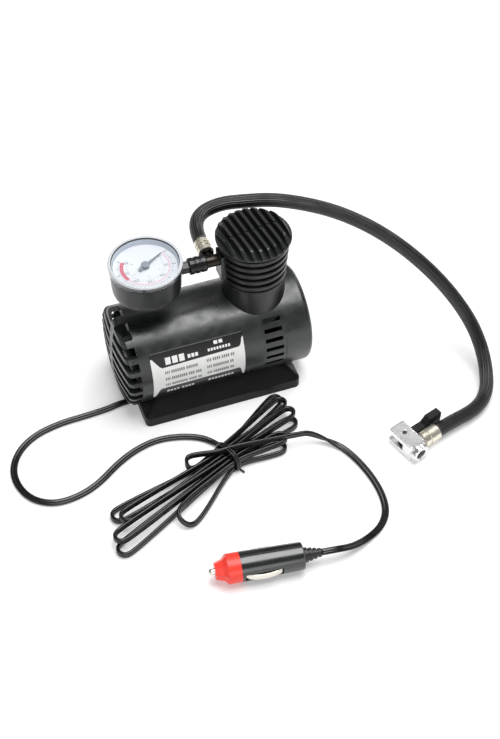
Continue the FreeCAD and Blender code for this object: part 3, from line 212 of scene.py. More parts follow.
hose_points = [mm(*p) for p in (
    (5.5, 20, PIPE_Z), (5.5, 34, PIPE_Z), (12.5, 46.6, 114.6), (29, 48.4, 118), (47, 44.4, 118.4),
    (67, 41.4, 116.4), (88, 34.9, 112), (110, 26.6, 105), (132, 15.4, 94.5), (152, 0.5, 82),
    (169.5, -17.8, 67.5), (183.5, -35, 51), (193, -52, 34.5), (195.8, -68, 21), (193, -84.5, 11.5),
    (186, -99.5, 6.8), (172.5, -110, 5.8), (147.15, -116.15, 7), (135.74, -119.86, 7))]
hose_line = smooth_line(hose_points, 10)
hose_outline = round_outline(HOSE_RADIUS, HOSE_SIDES)
hose_mesh = swept_mesh("rubber_air_hose", hose_line, hose_outline, [0.0] * len(hose_line))
air_hose = new_piece("rubber_air_hose", hose_mesh)
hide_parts("air_hose")
print("hose length in mm", round(lengths_along(hose_line)[-1] / MM, 1))

# %% [markdown]
# ## The power lead
#
# The lead is flat twin flex: two round cores side by side in one cover, with a groove between them. It
# comes out of the foot, makes a wide loop on the left, and is folded to and fro into a hank that is tied
# at its waist. One free end leads on to the plug. On the floor the lead lies flat, and in the hank its
# folds stand on edge, because flat flex bends only about its thin side. The outline is a figure of eight,
# and its roll says how far it is turned.

# %% Lay out the lead's control points
# Heights of the lead's middle: flat, on edge, what each layer adds, and how far the tie's turns lift it
LEAD_FLAT_Z = 1.35
EDGE_Z = 2.65
LAYER = 5.3
LIFT = 0.9
# The waist: strands side by side, how far apart, and how far each side of the tie they run straight
STRANDS = 6
PITCH = 3.4
WAIST = 6.0
HANK_AT = (-14.2, -90.7)
HANK_TURN = 21.0
# A fold's corners, as shares of its half width: behind the tip, wide there, and narrower at the tip
FOLD_BACK = 1.5
FOLD_WIDE = 1.05
FOLD_TIP = 0.65
# How far outside the hank the lead's own stretches begin
LEAD_IN = 9.5
LEAD_OUT = 9.0
PLUG_AT = (4.3, -190.5)
PLUG_TURN = 172.4
PLUG_RADIUS = 10.4
RELIEF_LENGTH = 12.7


def polar(radius, degrees):
    """The x and y of a radius at an angle."""
    a = math.radians(degrees)
    return radius * math.cos(a), radius * math.sin(a)


def hank_point(s, t, z):
    """A place in the hank: s along it from the tie, t across it."""
    along = polar(1, HANK_TURN)
    across = polar(1, HANK_TURN + 90)
    return Vector((HANK_AT[0] + s * along[0] + t * across[0], HANK_AT[1] + s * along[1] + t * across[1], z))


def plug_point(x, z):
    """A place on the plug's axis: x along it from its rear end."""
    ahead = polar(1, PLUG_TURN)
    return Vector((PLUG_AT[0] + x * ahead[0], PLUG_AT[1] + x * ahead[1], z))


def fold(length, angle, half, z_in, z_out, upper_first):
    """The four corners of a round fold that lies at an angle and a distance from the tie."""
    sides = (1, -1) if polar(1, angle + 90)[1] > 0 else (-1, 1)
    if not upper_first:
        sides = sides[::-1]
    corners = []
    for side, z, order in ((sides[0], z_in, (FOLD_BACK, 0)), (sides[1], z_out, (0, FOLD_BACK))):
        for back in order:
            along = polar(length - back * half, angle)
            beside = polar(side * half * (FOLD_WIDE if back else FOLD_TIP), angle + 90)
            corners.append(hank_point(along[0] + beside[0], along[1] + beside[1], z))
    return corners


def waist(strand, layer, way):
    """The two points of one strand beside the tie."""
    t = (strand - (STRANDS - 1) / 2) * PITCH
    z = EDGE_Z + LIFT + layer * LAYER
    return [hank_point(-way * WAIST, t, z), hank_point(way * WAIST, t, z)]


right_folds = [(69.9, 17.5, 5.2), (61.4, -3.5, 5.2), (43.0, -23.5, 5.2)]
left_folds = [(94.5, 172.0, 6.0), (108.7, 187.0, 6.0)]
upper_right_folds = [(66.0, 11.5, 4.8), (63.5, 1.5, 4.6), (45.0, -17.5, 4.8)]
upper_left_folds = [(91.5, 176.5, 5.2), (105.0, 183.2, 5.4)]
low = EDGE_Z
high = EDGE_Z + LAYER

hank_points = [hank_point(15.5, 11.8, low)]
for k, right_fold in enumerate(right_folds):
    hank_points += fold(*right_fold, low, low, True) + waist(4 - 2 * k, 0, -1)
    if k < len(left_folds):
        hank_points += fold(*left_folds[k], low, low, True) + waist(3 - 2 * k, 0, 1)
hank_points += fold(64.0, 201.0, 8.0, low, high, False) + waist(0, 1, 1)
for k, right_fold in enumerate(reversed(upper_right_folds)):
    hank_points += fold(*right_fold, high, high, False) + waist(1 + 2 * k, 1, -1)
    if k < len(upper_left_folds):
        hank_points += fold(*upper_left_folds[-1 - k], high, high, False) + waist(2 + 2 * k, 1, 1)
top = EDGE_Z + LIFT + 2 * LAYER
hank_points += fold(30.5, 157.0, 3.8, high, top - LIFT + 0.4, False)
hank_points += [hank_point(-WAIST, 3.0, top), hank_point(WAIST, -0.5, top)]
hank_points.append(hank_point(48.5, -19.0, high + 2.4))

lead_start = Vector((-62.6, -12.5, 2.05))
free_stretch = [(-82, -14), (-98, -15), (-118, -15.4), (-138, -20), (-152.5, -30), (-161, -44), (-162, -60),
                (-155.5, -76), (-141.5, -85.2), (-124, -84.8), (-107, -78.6), (-91, -67), (-75, -58.6),
                (-57, -54.2), (-39, -57), (-25, -63.2), (-17.4, -71.5)]
before_hank = hank_points[0] + (hank_points[1] - hank_points[0]).normalized() * -LEAD_IN
lead_points = [lead_start, Vector((-71.6, -12.5, 2.05))]
lead_points += [Vector((x, y, LEAD_FLAT_Z)) for x, y in free_stretch] + [before_hank]

after_hank = hank_points[-1] + (hank_points[-1] - hank_points[-2]).normalized() * LEAD_OUT
tail_points = [after_hank]
tail_points += [Vector(p) for p in (
    (56, -96, 5.6), (64.5, -102.5, 2.2), (70, -110.5, LEAD_FLAT_Z), (75, -125, LEAD_FLAT_Z),
    (78, -141, LEAD_FLAT_Z), (78.3, -157, LEAD_FLAT_Z), (74.8, -171, LEAD_FLAT_Z), (66.2, -181, LEAD_FLAT_Z),
    (53.5, -187.5, 2.2), (40.5, -192.3, 6.0))]
tail_points += [plug_point(-RELIEF_LENGTH - 11, PLUG_RADIUS), plug_point(-RELIEF_LENGTH, PLUG_RADIUS)]

lead_route = [mm(*p) for p in lead_points + hank_points + tail_points]
lead_line = smooth_line(lead_route, 14)
print("control points", len(lead_route), "places", len(lead_line))

# %% [markdown]
# The roll is 0 where the lead lies flat and a quarter turn where it stands on edge. It changes smoothly
# over the last few centimetres before the hank and the first few after it. The nearest place to the
# hank's first and last control point says where those are.

# %% Turn the outline and build the lead
CORE_RADIUS = 1.3
# Each core's arc ends at the groove, so many degrees from its outermost place
CORE_STEPS = 9
CORE_ARC = 142
# The turn takes this length, and turning back starts a little past the hank
TWIST_LENGTH = 26.0
TWIST_DELAY = 12


def nearest(line, place, first, last):
    """The index of the place on a stretch of the line that is nearest to a point."""
    return min(range(first, last), key=lambda i: (line[i] - place).length)


def eased(x):
    """0 to 1 with a soft start and end."""
    x = min(max(x, 0.0), 1.0)
    return x * x * (3 - 2 * x)


far = lengths_along(lead_line)
total = far[-1]
into = far[nearest(lead_line, mm(*hank_points[0]), 0, len(lead_line) // 3)] / MM
out_of = far[nearest(lead_line, mm(*hank_points[-1]), len(lead_line) * 3 // 4, len(lead_line))] / MM
lead_rolls = [math.pi / 2 * eased((s / MM - into + TWIST_LENGTH) / TWIST_LENGTH)
              * eased((out_of + TWIST_LENGTH + TWIST_DELAY - s / MM) / TWIST_LENGTH) for s in far]

arc = [math.radians(-CORE_ARC + 2 * CORE_ARC * k / (CORE_STEPS - 1)) for k in range(CORE_STEPS)]
right_core = [(CORE_RADIUS * (1 + math.cos(a)), CORE_RADIUS * math.sin(a)) for a in arc]
left_core = [(-x, -z) for x, z in right_core]
lead_outline = [(x * MM, z * MM) for x, z in right_core + left_core]

lead_mesh = swept_mesh("twin_power_lead", lead_line, lead_outline, lead_rolls)
power_lead = new_piece("twin_power_lead", lead_mesh)
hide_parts("cord_lead", "cord_hank", "cord_tail")
print("lead length in mm", round(total / MM, 1), "hank from", round(into), "to", round(out_of))

# %% [markdown]
# ## The tie round the hank
#
# The hank is held by a short spare end of thin flex that goes twice round its waist and is tucked under
# itself. Each turn is a rounded loop that hugs the strands. A circle is swept along that loop, the way
# the hose was made.

# %% Wrap the tie
TIE_RADIUS = 0.8
TIE_SIDES = 14
TIE_FOOT = 1.5
TIE_SHOULDER = 4
TIE_STEP = 1.8
TIE_GAP = 0.4
TIE_HEADROOM = 3.0
tie_half = STRANDS / 2 * PITCH + TIE_GAP + TIE_RADIUS
tie_low = TIE_RADIUS
tie_high = EDGE_Z + LIFT + 1.5 * LAYER + TIE_RADIUS + TIE_HEADROOM


def tie_turn(s0, s1):
    """Control points of one turn of the tie, from s0 to s1 along the hank."""
    foot, shoulder = tie_half - TIE_FOOT, tie_half - TIE_SHOULDER
    around = [(-foot, tie_low), (foot, tie_low), (tie_half, tie_low + TIE_FOOT), (tie_half, tie_high - 5),
              (shoulder, tie_high), (0, tie_high + 0.6), (-shoulder, tie_high), (-tie_half, tie_high - 5),
              (-tie_half, tie_low + TIE_FOOT)]
    count = len(around)
    return [hank_point(s0 + (s1 - s0) * k / count, t, z) for k, (t, z) in enumerate(around)]


def carried_rings(places, outline):
    """Rings for a line that also runs upright: each is turned from the one before it."""
    rings = []
    ways = directions(places)
    side = ways[0].orthogonal()
    for place, ahead in zip(places, ways):
        side = (side - ahead * side.dot(ahead)).normalized()
        other = ahead.cross(side)
        rings.append([place + side * a + other * b for a, b in outline])
    return rings


tie_points = tie_turn(-TIE_STEP, 0.0) + tie_turn(0.0, TIE_STEP)
tie_points += [hank_point(2.0, -tie_half + 2, tie_low), hank_point(2.8, -tie_half - 3.5, tie_low)]
tie_line = smooth_line([mm(*p) for p in tie_points], 8)
tie_rings = carried_rings(tie_line, round_outline(TIE_RADIUS, TIE_SIDES))
hank_wrap = new_piece("hank_wrap", tube_mesh("hank_wrap", tie_line, tie_rings))
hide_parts("hank_tie")
print("tie's turns are", round(2 * tie_half, 1), "mm wide and", round(tie_high, 1), "mm high")

# %% [markdown]
# ## Helpers for materials
#
# A material is a tree of nodes, and every node has sockets that hold a value or take a link from another
# node. Three helpers write that down shortly: one fills a node's sockets from a dictionary, one adds a
# node and fills it, and one maps a range of values on to another.

# %% Fill sockets and add nodes


def fill(tree, node, sockets):
    """Fills a node's sockets, each with a value or with a link from another node's output."""
    for name, value in sockets.items():
        if isinstance(value, bpy.types.NodeSocket):
            tree.links.new(value, node.inputs[name])
        else:
            node.inputs[name].default_value = value
    return node


def add(tree, kind, sockets=None, **settings):
    """A node with its settings made and its sockets filled."""
    node = tree.nodes.new(kind)
    for name, value in settings.items():
        setattr(node, name, value)
    return fill(tree, node, sockets or {})


def spread(tree, value, from_low, from_high, to_low, to_high):
    """Maps one range of a value on to another, and stops at its ends."""
    node = add(tree, "ShaderNodeMapRange", {"Value": value, "From Min": from_low, "From Max": from_high,
                                            "To Min": to_low, "To Max": to_high})
    return node.outputs[0]


print("helpers ready")

# %% [markdown]
# ## Floor and light
#
# The object stands on a white floor that runs out of sight. The floor is a pale surface that takes
# shadows, with a little light of its own for the camera and for reflections, so that it reads as white
# without more light on the object. That glow grows with the distance from the object, where the lamps no
# longer reach, as the lit backdrop of a studio does. The sky is a weak white.

# %% Build the stage
FLOOR_HALF = 4.0
FLOOR_Z = -0.0002
# The floor's glow grows between these two distances, in metres
GLOW_FROM, GLOW_TO = 0.30, 2.2
NEAR_GLOW, FAR_GLOW = 0.25, 0.90
FLOOR_WHITE = (0.86, 0.86, 0.86, 1)
WHITE = (1, 1, 1, 1)
SKY_STRENGTH = 0.15

bm = bmesh.new()
bmesh.ops.create_grid(bm, x_segments=1, y_segments=1, size=FLOOR_HALF,
                      matrix=Matrix.Translation((0, 0, FLOOR_Z)))
floor_mesh = mesh_from(bm, "floor")
floor = bpy.data.objects.new("floor", floor_mesh)
scene.collection.objects.link(floor)

floor_paint = bpy.data.materials.new("floor_paint")
floor_paint.use_nodes = True
tree = floor_paint.node_tree
tree.nodes.clear()
spot = add(tree, "ShaderNodeNewGeometry")
away = add(tree, "ShaderNodeVectorMath", {0: spot.outputs["Position"]}, operation="LENGTH")
strength = spread(tree, away.outputs["Value"], GLOW_FROM, GLOW_TO, NEAR_GLOW, FAR_GLOW)
glow = add(tree, "ShaderNodeEmission", {"Strength": strength})
nothing = add(tree, "ShaderNodeEmission", {"Strength": 0.0})
ray = add(tree, "ShaderNodeLightPath")
either = add(tree, "ShaderNodeMath", {0: ray.outputs["Is Camera Ray"], 1: ray.outputs["Is Glossy Ray"]},
             operation="ADD")
seen = add(tree, "ShaderNodeMath", {0: either.outputs[0], 1: ray.outputs["Is Transmission Ray"]},
           operation="ADD", use_clamp=True)
pick = add(tree, "ShaderNodeMixShader", {"Fac": seen.outputs[0], 1: nothing.outputs[0], 2: glow.outputs[0]})
paint = add(tree, "ShaderNodeBsdfDiffuse", {"Color": FLOOR_WHITE})
both = add(tree, "ShaderNodeAddShader", {0: paint.outputs[0], 1: pick.outputs[0]})
add(tree, "ShaderNodeOutputMaterial", {"Surface": both.outputs[0]})
floor_mesh.materials.append(floor_paint)

world = bpy.data.worlds.new("studio")
world.use_nodes = True
scene.world = world
tree = world.node_tree
sky = fill(tree, tree.nodes["Background"], {"Color": WHITE, "Strength": SKY_STRENGTH})
seen_sky = add(tree, "ShaderNodeBackground", {"Color": WHITE})
ray = add(tree, "ShaderNodeLightPath")
pick = add(tree, "ShaderNodeMixShader", {"Fac": ray.outputs["Is Camera Ray"], 1: sky.outputs[0],
                                         2: seen_sky.outputs[0]})
fill(tree, tree.nodes["World Output"], {"Surface": pick.outputs[0]})
print("floor", 2 * FLOOR_HALF, "m wide, sky strength", SKY_STRENGTH)

# %% [markdown]
# One large soft lamp hangs almost straight above, which is what draws the broad band of light along the
# top of the drum. Weaker ones stand low on the left and in front for the sides, one high behind is what
# flat bright metal mirrors to the camera, and one on the right draws a streak along the hose's outer
# side. No lamp is seen through glass, because the gauge's cap already lets the lamps' light straight
# through, and the dial would get it twice.

# %% Hang the lamps


def soft_lamp(name, at, aim, size, power):
    """A rectangular lamp that faces a point."""
    light = bpy.data.lights.new(name, "AREA")
    light.shape = "RECTANGLE"
    light.size, light.size_y = size
    light.energy = power
    lamp = bpy.data.objects.new(name, light)
    scene.collection.objects.link(lamp)
    lamp.visible_transmission = False
    way = Vector(at) - Vector(aim)
    lamp.matrix_world = Matrix.Translation(at) @ way.to_track_quat("Z", "Y").to_matrix().to_4x4()


soft_lamp("lamp_above", (0.17, -0.04, 1.25), (0.0, -0.05, 0.05), (1.0, 0.8), 16.0)
soft_lamp("lamp_left", (-1.1, -0.35, 0.55), (0.0, -0.05, 0.06), (0.7, 0.7), 1.5)
soft_lamp("lamp_behind", (0.45, 1.10, 1.35), (0.05, -0.1, 0.0), (1.2, 0.8), 1.1)
soft_lamp("lamp_front", (-0.35, -1.30, 0.40), (0.0, 0.0, 0.05), (1.0, 0.6), 5.0)
soft_lamp("lamp_right", (0.95, 0.55, 0.60), (0.1, 0.0, 0.08), (0.45, 0.45), 2.6)

# %% [markdown]
# ## Finishes
#
# Most parts are moulded plastic, plated metal or plain machined metal. Real plastic has a fine grain from
# its mould, is a little shinier in some places than in others, and catches light on its edges, which are
# never quite sharp. So one recipe serves them all: a fine noise gives the grain, a coarse noise varies
# colour and gloss, and a Bevel node rounds the edges in the shading and paints them paler, partly as wear
# and partly as a painted highlight along them. What differs is the numbers.

# %% A recipe for finishes
NOISE_LOW, NOISE_HIGH = 0.3, 0.7
# How well the rounded and the flat direction of a face agree where the paler edge starts, and where it is
# full
EDGE_STARTS, EDGE_FULL = 0.97, 0.80
# How much of the mottling goes into the colour, and how many times paler an edge is painted, for wear and a
# painted highlight
TINT_SHARE = 0.6
EDGE_WEAR_AND_SHEEN_GAIN = 7.0


def scaled(color, factor):
    """A colour made lighter or darker, with full opacity."""
    return (*[min(channel * factor, 1.0) for channel in color], 1.0)


def new_material(name):
    """A material, its tree and its shader."""
    material = bpy.data.materials.new(name)
    material.use_nodes = True
    return material, material.node_tree, material.node_tree.nodes["Principled BSDF"]


def noise(tree, place, size, detail):
    """A noise from 0 to 1, mostly between NOISE_LOW and NOISE_HIGH, with features of a size in mm."""
    node = add(tree, "ShaderNodeTexNoise", {"Vector": place, "Scale": 1 / (size * MM), "Detail": detail})
    return node.outputs["Fac"]


def raised(tree, height, depth, normal=None):
    """The surface tilted as if a pattern stood up from it by a depth in mm."""
    node = add(tree, "ShaderNodeBump", {"Strength": 1.0, "Distance": depth * MM, "Height": height})
    return fill(tree, node, {"Normal": normal} if normal else {}).outputs[0]


def finish(name, color, rough, metal=0.0, grain=0.35, depth=0.012, mottle=0.14, patch=9.0, edge_wear_and_sheen=0.0,
           round_edge=0.25, stretch=(1, 1, 1), shine=0.5):
    """A surface: grain and patch are sizes in mm, depth the grain's height in mm, edge_wear_and_sheen how
    much paler edges are painted, as wear and painted highlight, and shine how strongly it mirrors, where 0.5
    is common plastic."""
    material, tree, shader = new_material(name)
    place = add(tree, "ShaderNodeTexCoord").outputs["Object"]
    stretched = add(tree, "ShaderNodeMapping", {"Vector": place, "Scale": stretch}).outputs[0]
    fine = noise(tree, stretched, grain, 2.0)
    bevel = add(tree, "ShaderNodeBevel", {"Radius": round_edge * MM}, samples=4).outputs[0]

    cloud = noise(tree, place, patch, 4.0)
    gloss = spread(tree, cloud, NOISE_LOW, NOISE_HIGH, rough * (1 - mottle), min(rough * (1 + mottle), 1.0))
    tint = mottle * TINT_SHARE
    shade = add(tree, "ShaderNodeMix", {"Factor": cloud, "A": scaled(color, 1 - tint),
                                        "B": scaled(color, 1 + tint)}, data_type="RGBA").outputs["Result"]
    # Edges are painted paler here: partly wear, partly a painted highlight along them.
    if edge_wear_and_sheen:
        form = add(tree, "ShaderNodeNewGeometry").outputs["True Normal"]
        same = add(tree, "ShaderNodeVectorMath", {0: bevel, 1: form}, operation="DOT_PRODUCT")
        edge = spread(tree, same.outputs["Value"], EDGE_STARTS, EDGE_FULL, 0.0, edge_wear_and_sheen)
        edge_wear_and_sheen_mask = add(tree, "ShaderNodeMath", {0: edge, 1: cloud}, operation="MULTIPLY").outputs[0]
        shade = add(tree, "ShaderNodeMix", {"Factor": edge_wear_and_sheen_mask, "A": shade, "B": scaled(color, EDGE_WEAR_AND_SHEEN_GAIN)},
                    data_type="RGBA").outputs["Result"]
    fill(tree, shader, {"Base Color": shade, "Roughness": gloss, "Metallic": metal,
                        "Specular IOR Level": shine, "Normal": raised(tree, fine, depth, bevel)})
    return material


print("each finish starts from a colour, a roughness, and the sizes of its grain and patches in mm")

# %% [markdown]
# The drum is dark grey with a hint of green, satin rather than matt, and the head is nearly the same. The
# foot is blacker. The gauge's case and the chuck's lever are smooth. The plug is shinier still, and its
# nose is bright red.

# %% Plastics
drum_plastic = finish("drum_plastic", (0.0120, 0.0150, 0.0150), 0.34, grain=0.45, depth=0.005, mottle=0.26,
                      patch=7.0, edge_wear_and_sheen=0.6, shine=0.85)
# The fins' rims get the strongest paler edge, a painted highlight line along them as well as wear.
head_plastic = finish("head_plastic", (0.010, 0.011, 0.0115), 0.32, grain=0.30, depth=0.010, edge_wear_and_sheen=1.3,
                      round_edge=0.45, shine=0.55)
foot_plastic = finish("foot_plastic", (0.003, 0.003, 0.0035), 0.44, grain=0.40, edge_wear_and_sheen=0.2, shine=0.25)
case_plastic = finish("case_plastic", (0.014, 0.0155, 0.017), 0.30, grain=0.5, depth=0.003, shine=0.45)
lever_plastic = finish("lever_plastic", (0.005, 0.005, 0.0055), 0.30, grain=0.4, depth=0.006, edge_wear_and_sheen=0.6,
                       shine=0.4)
plug_plastic = finish("plug_plastic", (0.010, 0.0115, 0.012), 0.23, grain=0.5, depth=0.004, edge_wear_and_sheen=0.3,
                      shine=0.95)
nose_plastic = finish("nose_plastic", (0.94, 0.060, 0.040), 0.30, grain=0.5, depth=0.004, mottle=0.06,
                      shine=0.4)
grommet_rubber = finish("grommet_rubber", (0.012, 0.012, 0.012), 0.55, grain=0.3, depth=0.01)
motor_plastic = finish("motor_plastic", (0.04, 0.04, 0.04), 0.5, grain=0.3, depth=0.01)
relief_rubber = finish("relief_rubber", (0.016, 0.017, 0.018), 0.42, grain=0.3, depth=0.010, edge_wear_and_sheen=0.3)
tie_vinyl = finish("tie_vinyl", (0.010, 0.010, 0.011), 0.33, grain=0.4, depth=0.006)
print("plastics done")

# %% [markdown]
# Metals: a stretched noise gives the fine lines of turning or drawing, and plating is smooth with a faint
# unevenness. The sleeve beside the gauge is plated nearly black, the two hose ferrules are warm nickel,
# the tee is dull brass and the chuck is bright chrome over a casting. Inside are steel, copper, zinc
# casting, ferrite and brass.

# %% Metals
sleeve_plate = finish("sleeve_plate", (0.030, 0.030, 0.032), 0.16, metal=0.6, grain=1.2, depth=0.001,
                      mottle=0.2)
tee_brass = finish("tee_brass", (0.034, 0.030, 0.026), 0.26, metal=0.9, grain=0.4, depth=0.008, mottle=0.3,
                   edge_wear_and_sheen=0.2)
ferrule_nickel = finish("ferrule_nickel", (0.80, 0.76, 0.64), 0.27, metal=0.8, grain=0.8, depth=0.002,
                        mottle=0.2)
chuck_chrome = finish("chuck_chrome", (0.80, 0.80, 0.81), 0.16, metal=0.85, grain=1.6, depth=0.006,
                      mottle=0.3, round_edge=1.6)
contact_nickel = finish("contact_nickel", (0.74, 0.71, 0.64), 0.20, metal=1.0, grain=0.5, depth=0.004,
                        stretch=(4, 1, 1))
tip_nickel = finish("tip_nickel", (0.70, 0.68, 0.62), 0.22, metal=1.0, grain=0.5, depth=0.004)
# The lever's pin is painted nearly black, painted shade that makes it read as a dark hole.
pin_steel_in_painted_shade = finish("pin_steel_in_painted_shade", (0.05, 0.05, 0.052), 0.35, metal=0.9, grain=0.4, depth=0.006)
screw_steel = finish("screw_steel", (0.42, 0.42, 0.43), 0.30, metal=1.0, grain=0.4, depth=0.006, mottle=0.25)
shaft_steel = finish("shaft_steel", (0.56, 0.56, 0.58), 0.22, metal=1.0, grain=0.3, depth=0.004,
                     stretch=(8, 1, 1))
gear_steel = finish("gear_steel", (0.40, 0.40, 0.41), 0.36, metal=1.0, grain=0.25, mottle=0.25)
cast_zinc = finish("cast_zinc", (0.55, 0.56, 0.58), 0.45, metal=1.0, grain=0.5, depth=0.03, mottle=0.2,
                   edge_wear_and_sheen=0.4)
can_steel = finish("can_steel", (0.50, 0.50, 0.52), 0.30, metal=1.0, grain=0.4, depth=0.005,
                   stretch=(8, 1, 1))
movement_brass = finish("movement_brass", (0.66, 0.50, 0.24), 0.30, metal=1.0, grain=0.3, depth=0.006,
                        mottle=0.2)
copper_wire = finish("copper_wire", (0.66, 0.27, 0.12), 0.32, metal=1.0, depth=0.03, stretch=(0.15, 1, 1))
core_steel = finish("core_steel", (0.11, 0.11, 0.12), 0.5, metal=0.8, grain=0.5, depth=0.03,
                    stretch=(6, 0.1, 0.1))
ferrite = finish("ferrite", (0.05, 0.05, 0.055), 0.6, grain=0.4, depth=0.02)
carbon = finish("carbon", (0.03, 0.03, 0.032), 0.5, grain=0.3, depth=0.015)
seal_rubber = finish("seal_rubber", (0.015, 0.015, 0.015), 0.6, grain=0.3, depth=0.01)
print("metals done")

# %% [markdown]
# Clear parts need glass that lets lamps light what lies behind it. Real glass bends every lamp's ray,
# which takes long to work out, so for shadow rays the glass is swapped for a transparent shader and for
# all other rays it is true glass. A moulded cap is never quite even, so a slow noise tilts its face a
# little and dulls it in places.

# %% Clear parts
HAZE_PATCH = 7.0
HAZE_DEPTH = 0.004
CLEAR_ROUGHNESS = 0.02
CLEAR_IOR = 1.46


def clear(name, tint):
    """Clear plastic or glass that casts almost no shadow."""
    material, tree, shader = new_material(name)
    place = add(tree, "ShaderNodeTexCoord").outputs["Object"]
    haze = noise(tree, place, HAZE_PATCH, 3.0)
    gloss = spread(tree, haze, NOISE_LOW, NOISE_HIGH, CLEAR_ROUGHNESS * 0.5, CLEAR_ROUGHNESS * 2.0)
    fill(tree, shader, {"Base Color": (*tint, 1), "IOR": CLEAR_IOR, "Transmission Weight": 1.0,
                        "Roughness": gloss, "Normal": raised(tree, haze, HAZE_DEPTH)})
    through = add(tree, "ShaderNodeBsdfTransparent", {"Color": (*tint, 1)})
    ray = add(tree, "ShaderNodeLightPath")
    swap = add(tree, "ShaderNodeMixShader", {"Fac": ray.outputs["Is Shadow Ray"], 1: shader.outputs[0],
                                             2: through.outputs[0]})
    fill(tree, tree.nodes["Material Output"], {"Surface": swap.outputs[0]})
    return material


lens_plastic = clear("lens_plastic", (0.97, 0.98, 0.985))
fuse_glass = clear("fuse_glass", (0.95, 0.98, 0.97))
print("clear parts done")

# %% [markdown]
# ## Rubber and vinyl for the cords
#
# The hose shows its textile layer through the rubber as long, narrow lozenges that run along it. That
# pattern has to follow the hose, so it reads the piece's own UV map: u goes once round, and v is the
# length in metres. Two sets of steep ridges, multiplied, give the lozenges. The lead's cover is smooth,
# glossy vinyl.

# %% Cord covers
LOZENGES_AROUND = 11
LOZENGES_A_METRE = 22
LOZENGE_HEIGHT = 0.24


def ridges(tree, around, along):
    """Waves that run round the cord a number of times, and along it a number of times a metre."""
    uv = add(tree, "ShaderNodeTexCoord").outputs["UV"]
    split = add(tree, "ShaderNodeSeparateXYZ", {0: uv})
    turns = add(tree, "ShaderNodeMath", {0: split.outputs["X"], 1: math.tau * around}, operation="MULTIPLY")
    run = add(tree, "ShaderNodeMath", {0: split.outputs["Y"], 1: math.tau * along}, operation="MULTIPLY")
    both_ways = add(tree, "ShaderNodeMath", {0: turns.outputs[0], 1: run.outputs[0]}, operation="ADD")
    return add(tree, "ShaderNodeMath", {0: both_ways.outputs[0]}, operation="SINE").outputs[0]


def cord_cover(name, color, rough, around, along, height):
    """A cover with two crossing sets of ridges."""
    material = finish(name, color, rough, grain=0.25, depth=0.006, mottle=0.12, patch=6.0)
    tree = material.node_tree
    shader = tree.nodes["Principled BSDF"]
    weave = add(tree, "ShaderNodeMath", {0: ridges(tree, around, along), 1: ridges(tree, around, -along)},
                operation="MULTIPLY").outputs[0]
    grained = shader.inputs["Normal"].links[0].from_socket
    fill(tree, shader, {"Normal": raised(tree, weave, height, grained)})
    return material


hose_rubber = cord_cover("hose_rubber", (0.008, 0.0085, 0.009), 0.30, LOZENGES_AROUND, LOZENGES_A_METRE,
                         LOZENGE_HEIGHT)
lead_vinyl = finish("lead_vinyl", (0.004, 0.004, 0.0045), 0.22, grain=0.5, depth=0.003, mottle=0.2, patch=5.0)
air_hose.data.materials.append(hose_rubber)
power_lead.data.materials.append(lead_vinyl)
hank_wrap.data.materials.append(tie_vinyl)
print("cords covered")

# %% [markdown]
# ## Which finish goes on which part
#
# A part that came with the frame keeps its mesh. Its material slots are filled with the new finishes.

# %% Dress the frame's parts


def dress_part(name, material):
    """Puts one finish into every material slot of a frame part."""
    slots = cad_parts[name].data.materials
    if not slots:
        slots.append(material)
    for k in range(len(slots)):
        slots[k] = material


dress = {
    drum_plastic: ["housing_front", "housing_rear"],
    head_plastic: ["finned_head"],
    foot_plastic: ["base_plate"],
    case_plastic: ["gauge_case"],
    lens_plastic: ["gauge_lens"],
    grommet_rubber: ["cord_grommet"],
    motor_plastic: ["motor_end_bell"],
    lever_plastic: ["chuck_lever"],
    plug_plastic: ["plug_body"],
    nose_plastic: ["plug_nose"],
    relief_rubber: ["plug_relief"],
    sleeve_plate: ["union_sleeve"],
    tee_brass: ["outlet_tee"],
    ferrule_nickel: ["hose_ferrule", "chuck_ferrule"],
    chuck_chrome: ["chuck_body"],
    contact_nickel: ["side_contact_front", "side_contact_rear"],
    tip_nickel: ["plug_tip"],
    screw_steel: ["case_screws", "machine_screws"],
    pin_steel_in_painted_shade: ["lever_pin"],
    shaft_steel: ["motor_shaft", "gear_axle", "crank_pin", "wrist_pin", "rod_bearing", "fuse_spring",
                  "valve_spring", "chuck_plunger", "outlet_valve", "valve_plate"],
    gear_steel: ["crank_gear"],
    cast_zinc: ["frame", "cylinder", "cylinder_head", "piston", "connecting_rod"],
    can_steel: ["motor_can"],
    movement_brass: ["gauge_movement", "gauge_sector", "needle_arbor", "bourdon_tube"],
    copper_wire: ["armature_windings", "commutator"],
    core_steel: ["armature_core"],
    ferrite: ["motor_magnets"],
    carbon: ["motor_brushes"],
    seal_rubber: ["cup_seal", "chuck_seal"],
    fuse_glass: ["plug_fuse"],
}
for material, names in dress.items():
    for name in names:
        dress_part(name, material)
dressed = {name for names in dress.values() for name in names}
print("not dressed yet:", sorted(set(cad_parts) - dressed))

# %% [markdown]
# ## The dial
#
# The dial is a white printed disc. The needle rests at zero and turns 245 degrees clockwise, seen from
# above. A thin pink band follows the scale, and a red one fills its last quarter. Ticks stand outside the
# bands and plain numbers inside them, with a second, smaller scale nearer the middle. Print has almost no
# thickness, so each mark is a thin raised shape: a band is a small square turned about the dial's middle
# with spin, and a tick is a small box.

# %% Bands and ticks
DIAL_AT = (-41.85, 0.0)
DIAL_TOP = 121.2
ZERO = 31.0
SWEEP = 245.0
PRINT = 0.04
RED_FROM = 0.74
RED_BAND = (15.3, 17.9)
PINK_BAND = (16.4, 17.5)
TICK_FROM = 18.3
LONG_TICK, MIDDLE_TICK, SHORT_TICK = (21.2, 0.55), (20.2, 0.38), (19.5, 0.22)
STEPS = 60
INNER_STEPS = 20
INNER_LONG, INNER_SHORT, INNER_TO, INNER_WIDTH = 11.8, 12.4, 13.6, 0.24


def dial_angle(share):
    """The direction of a share of the scale, in degrees."""
    return ZERO - SWEEP * share


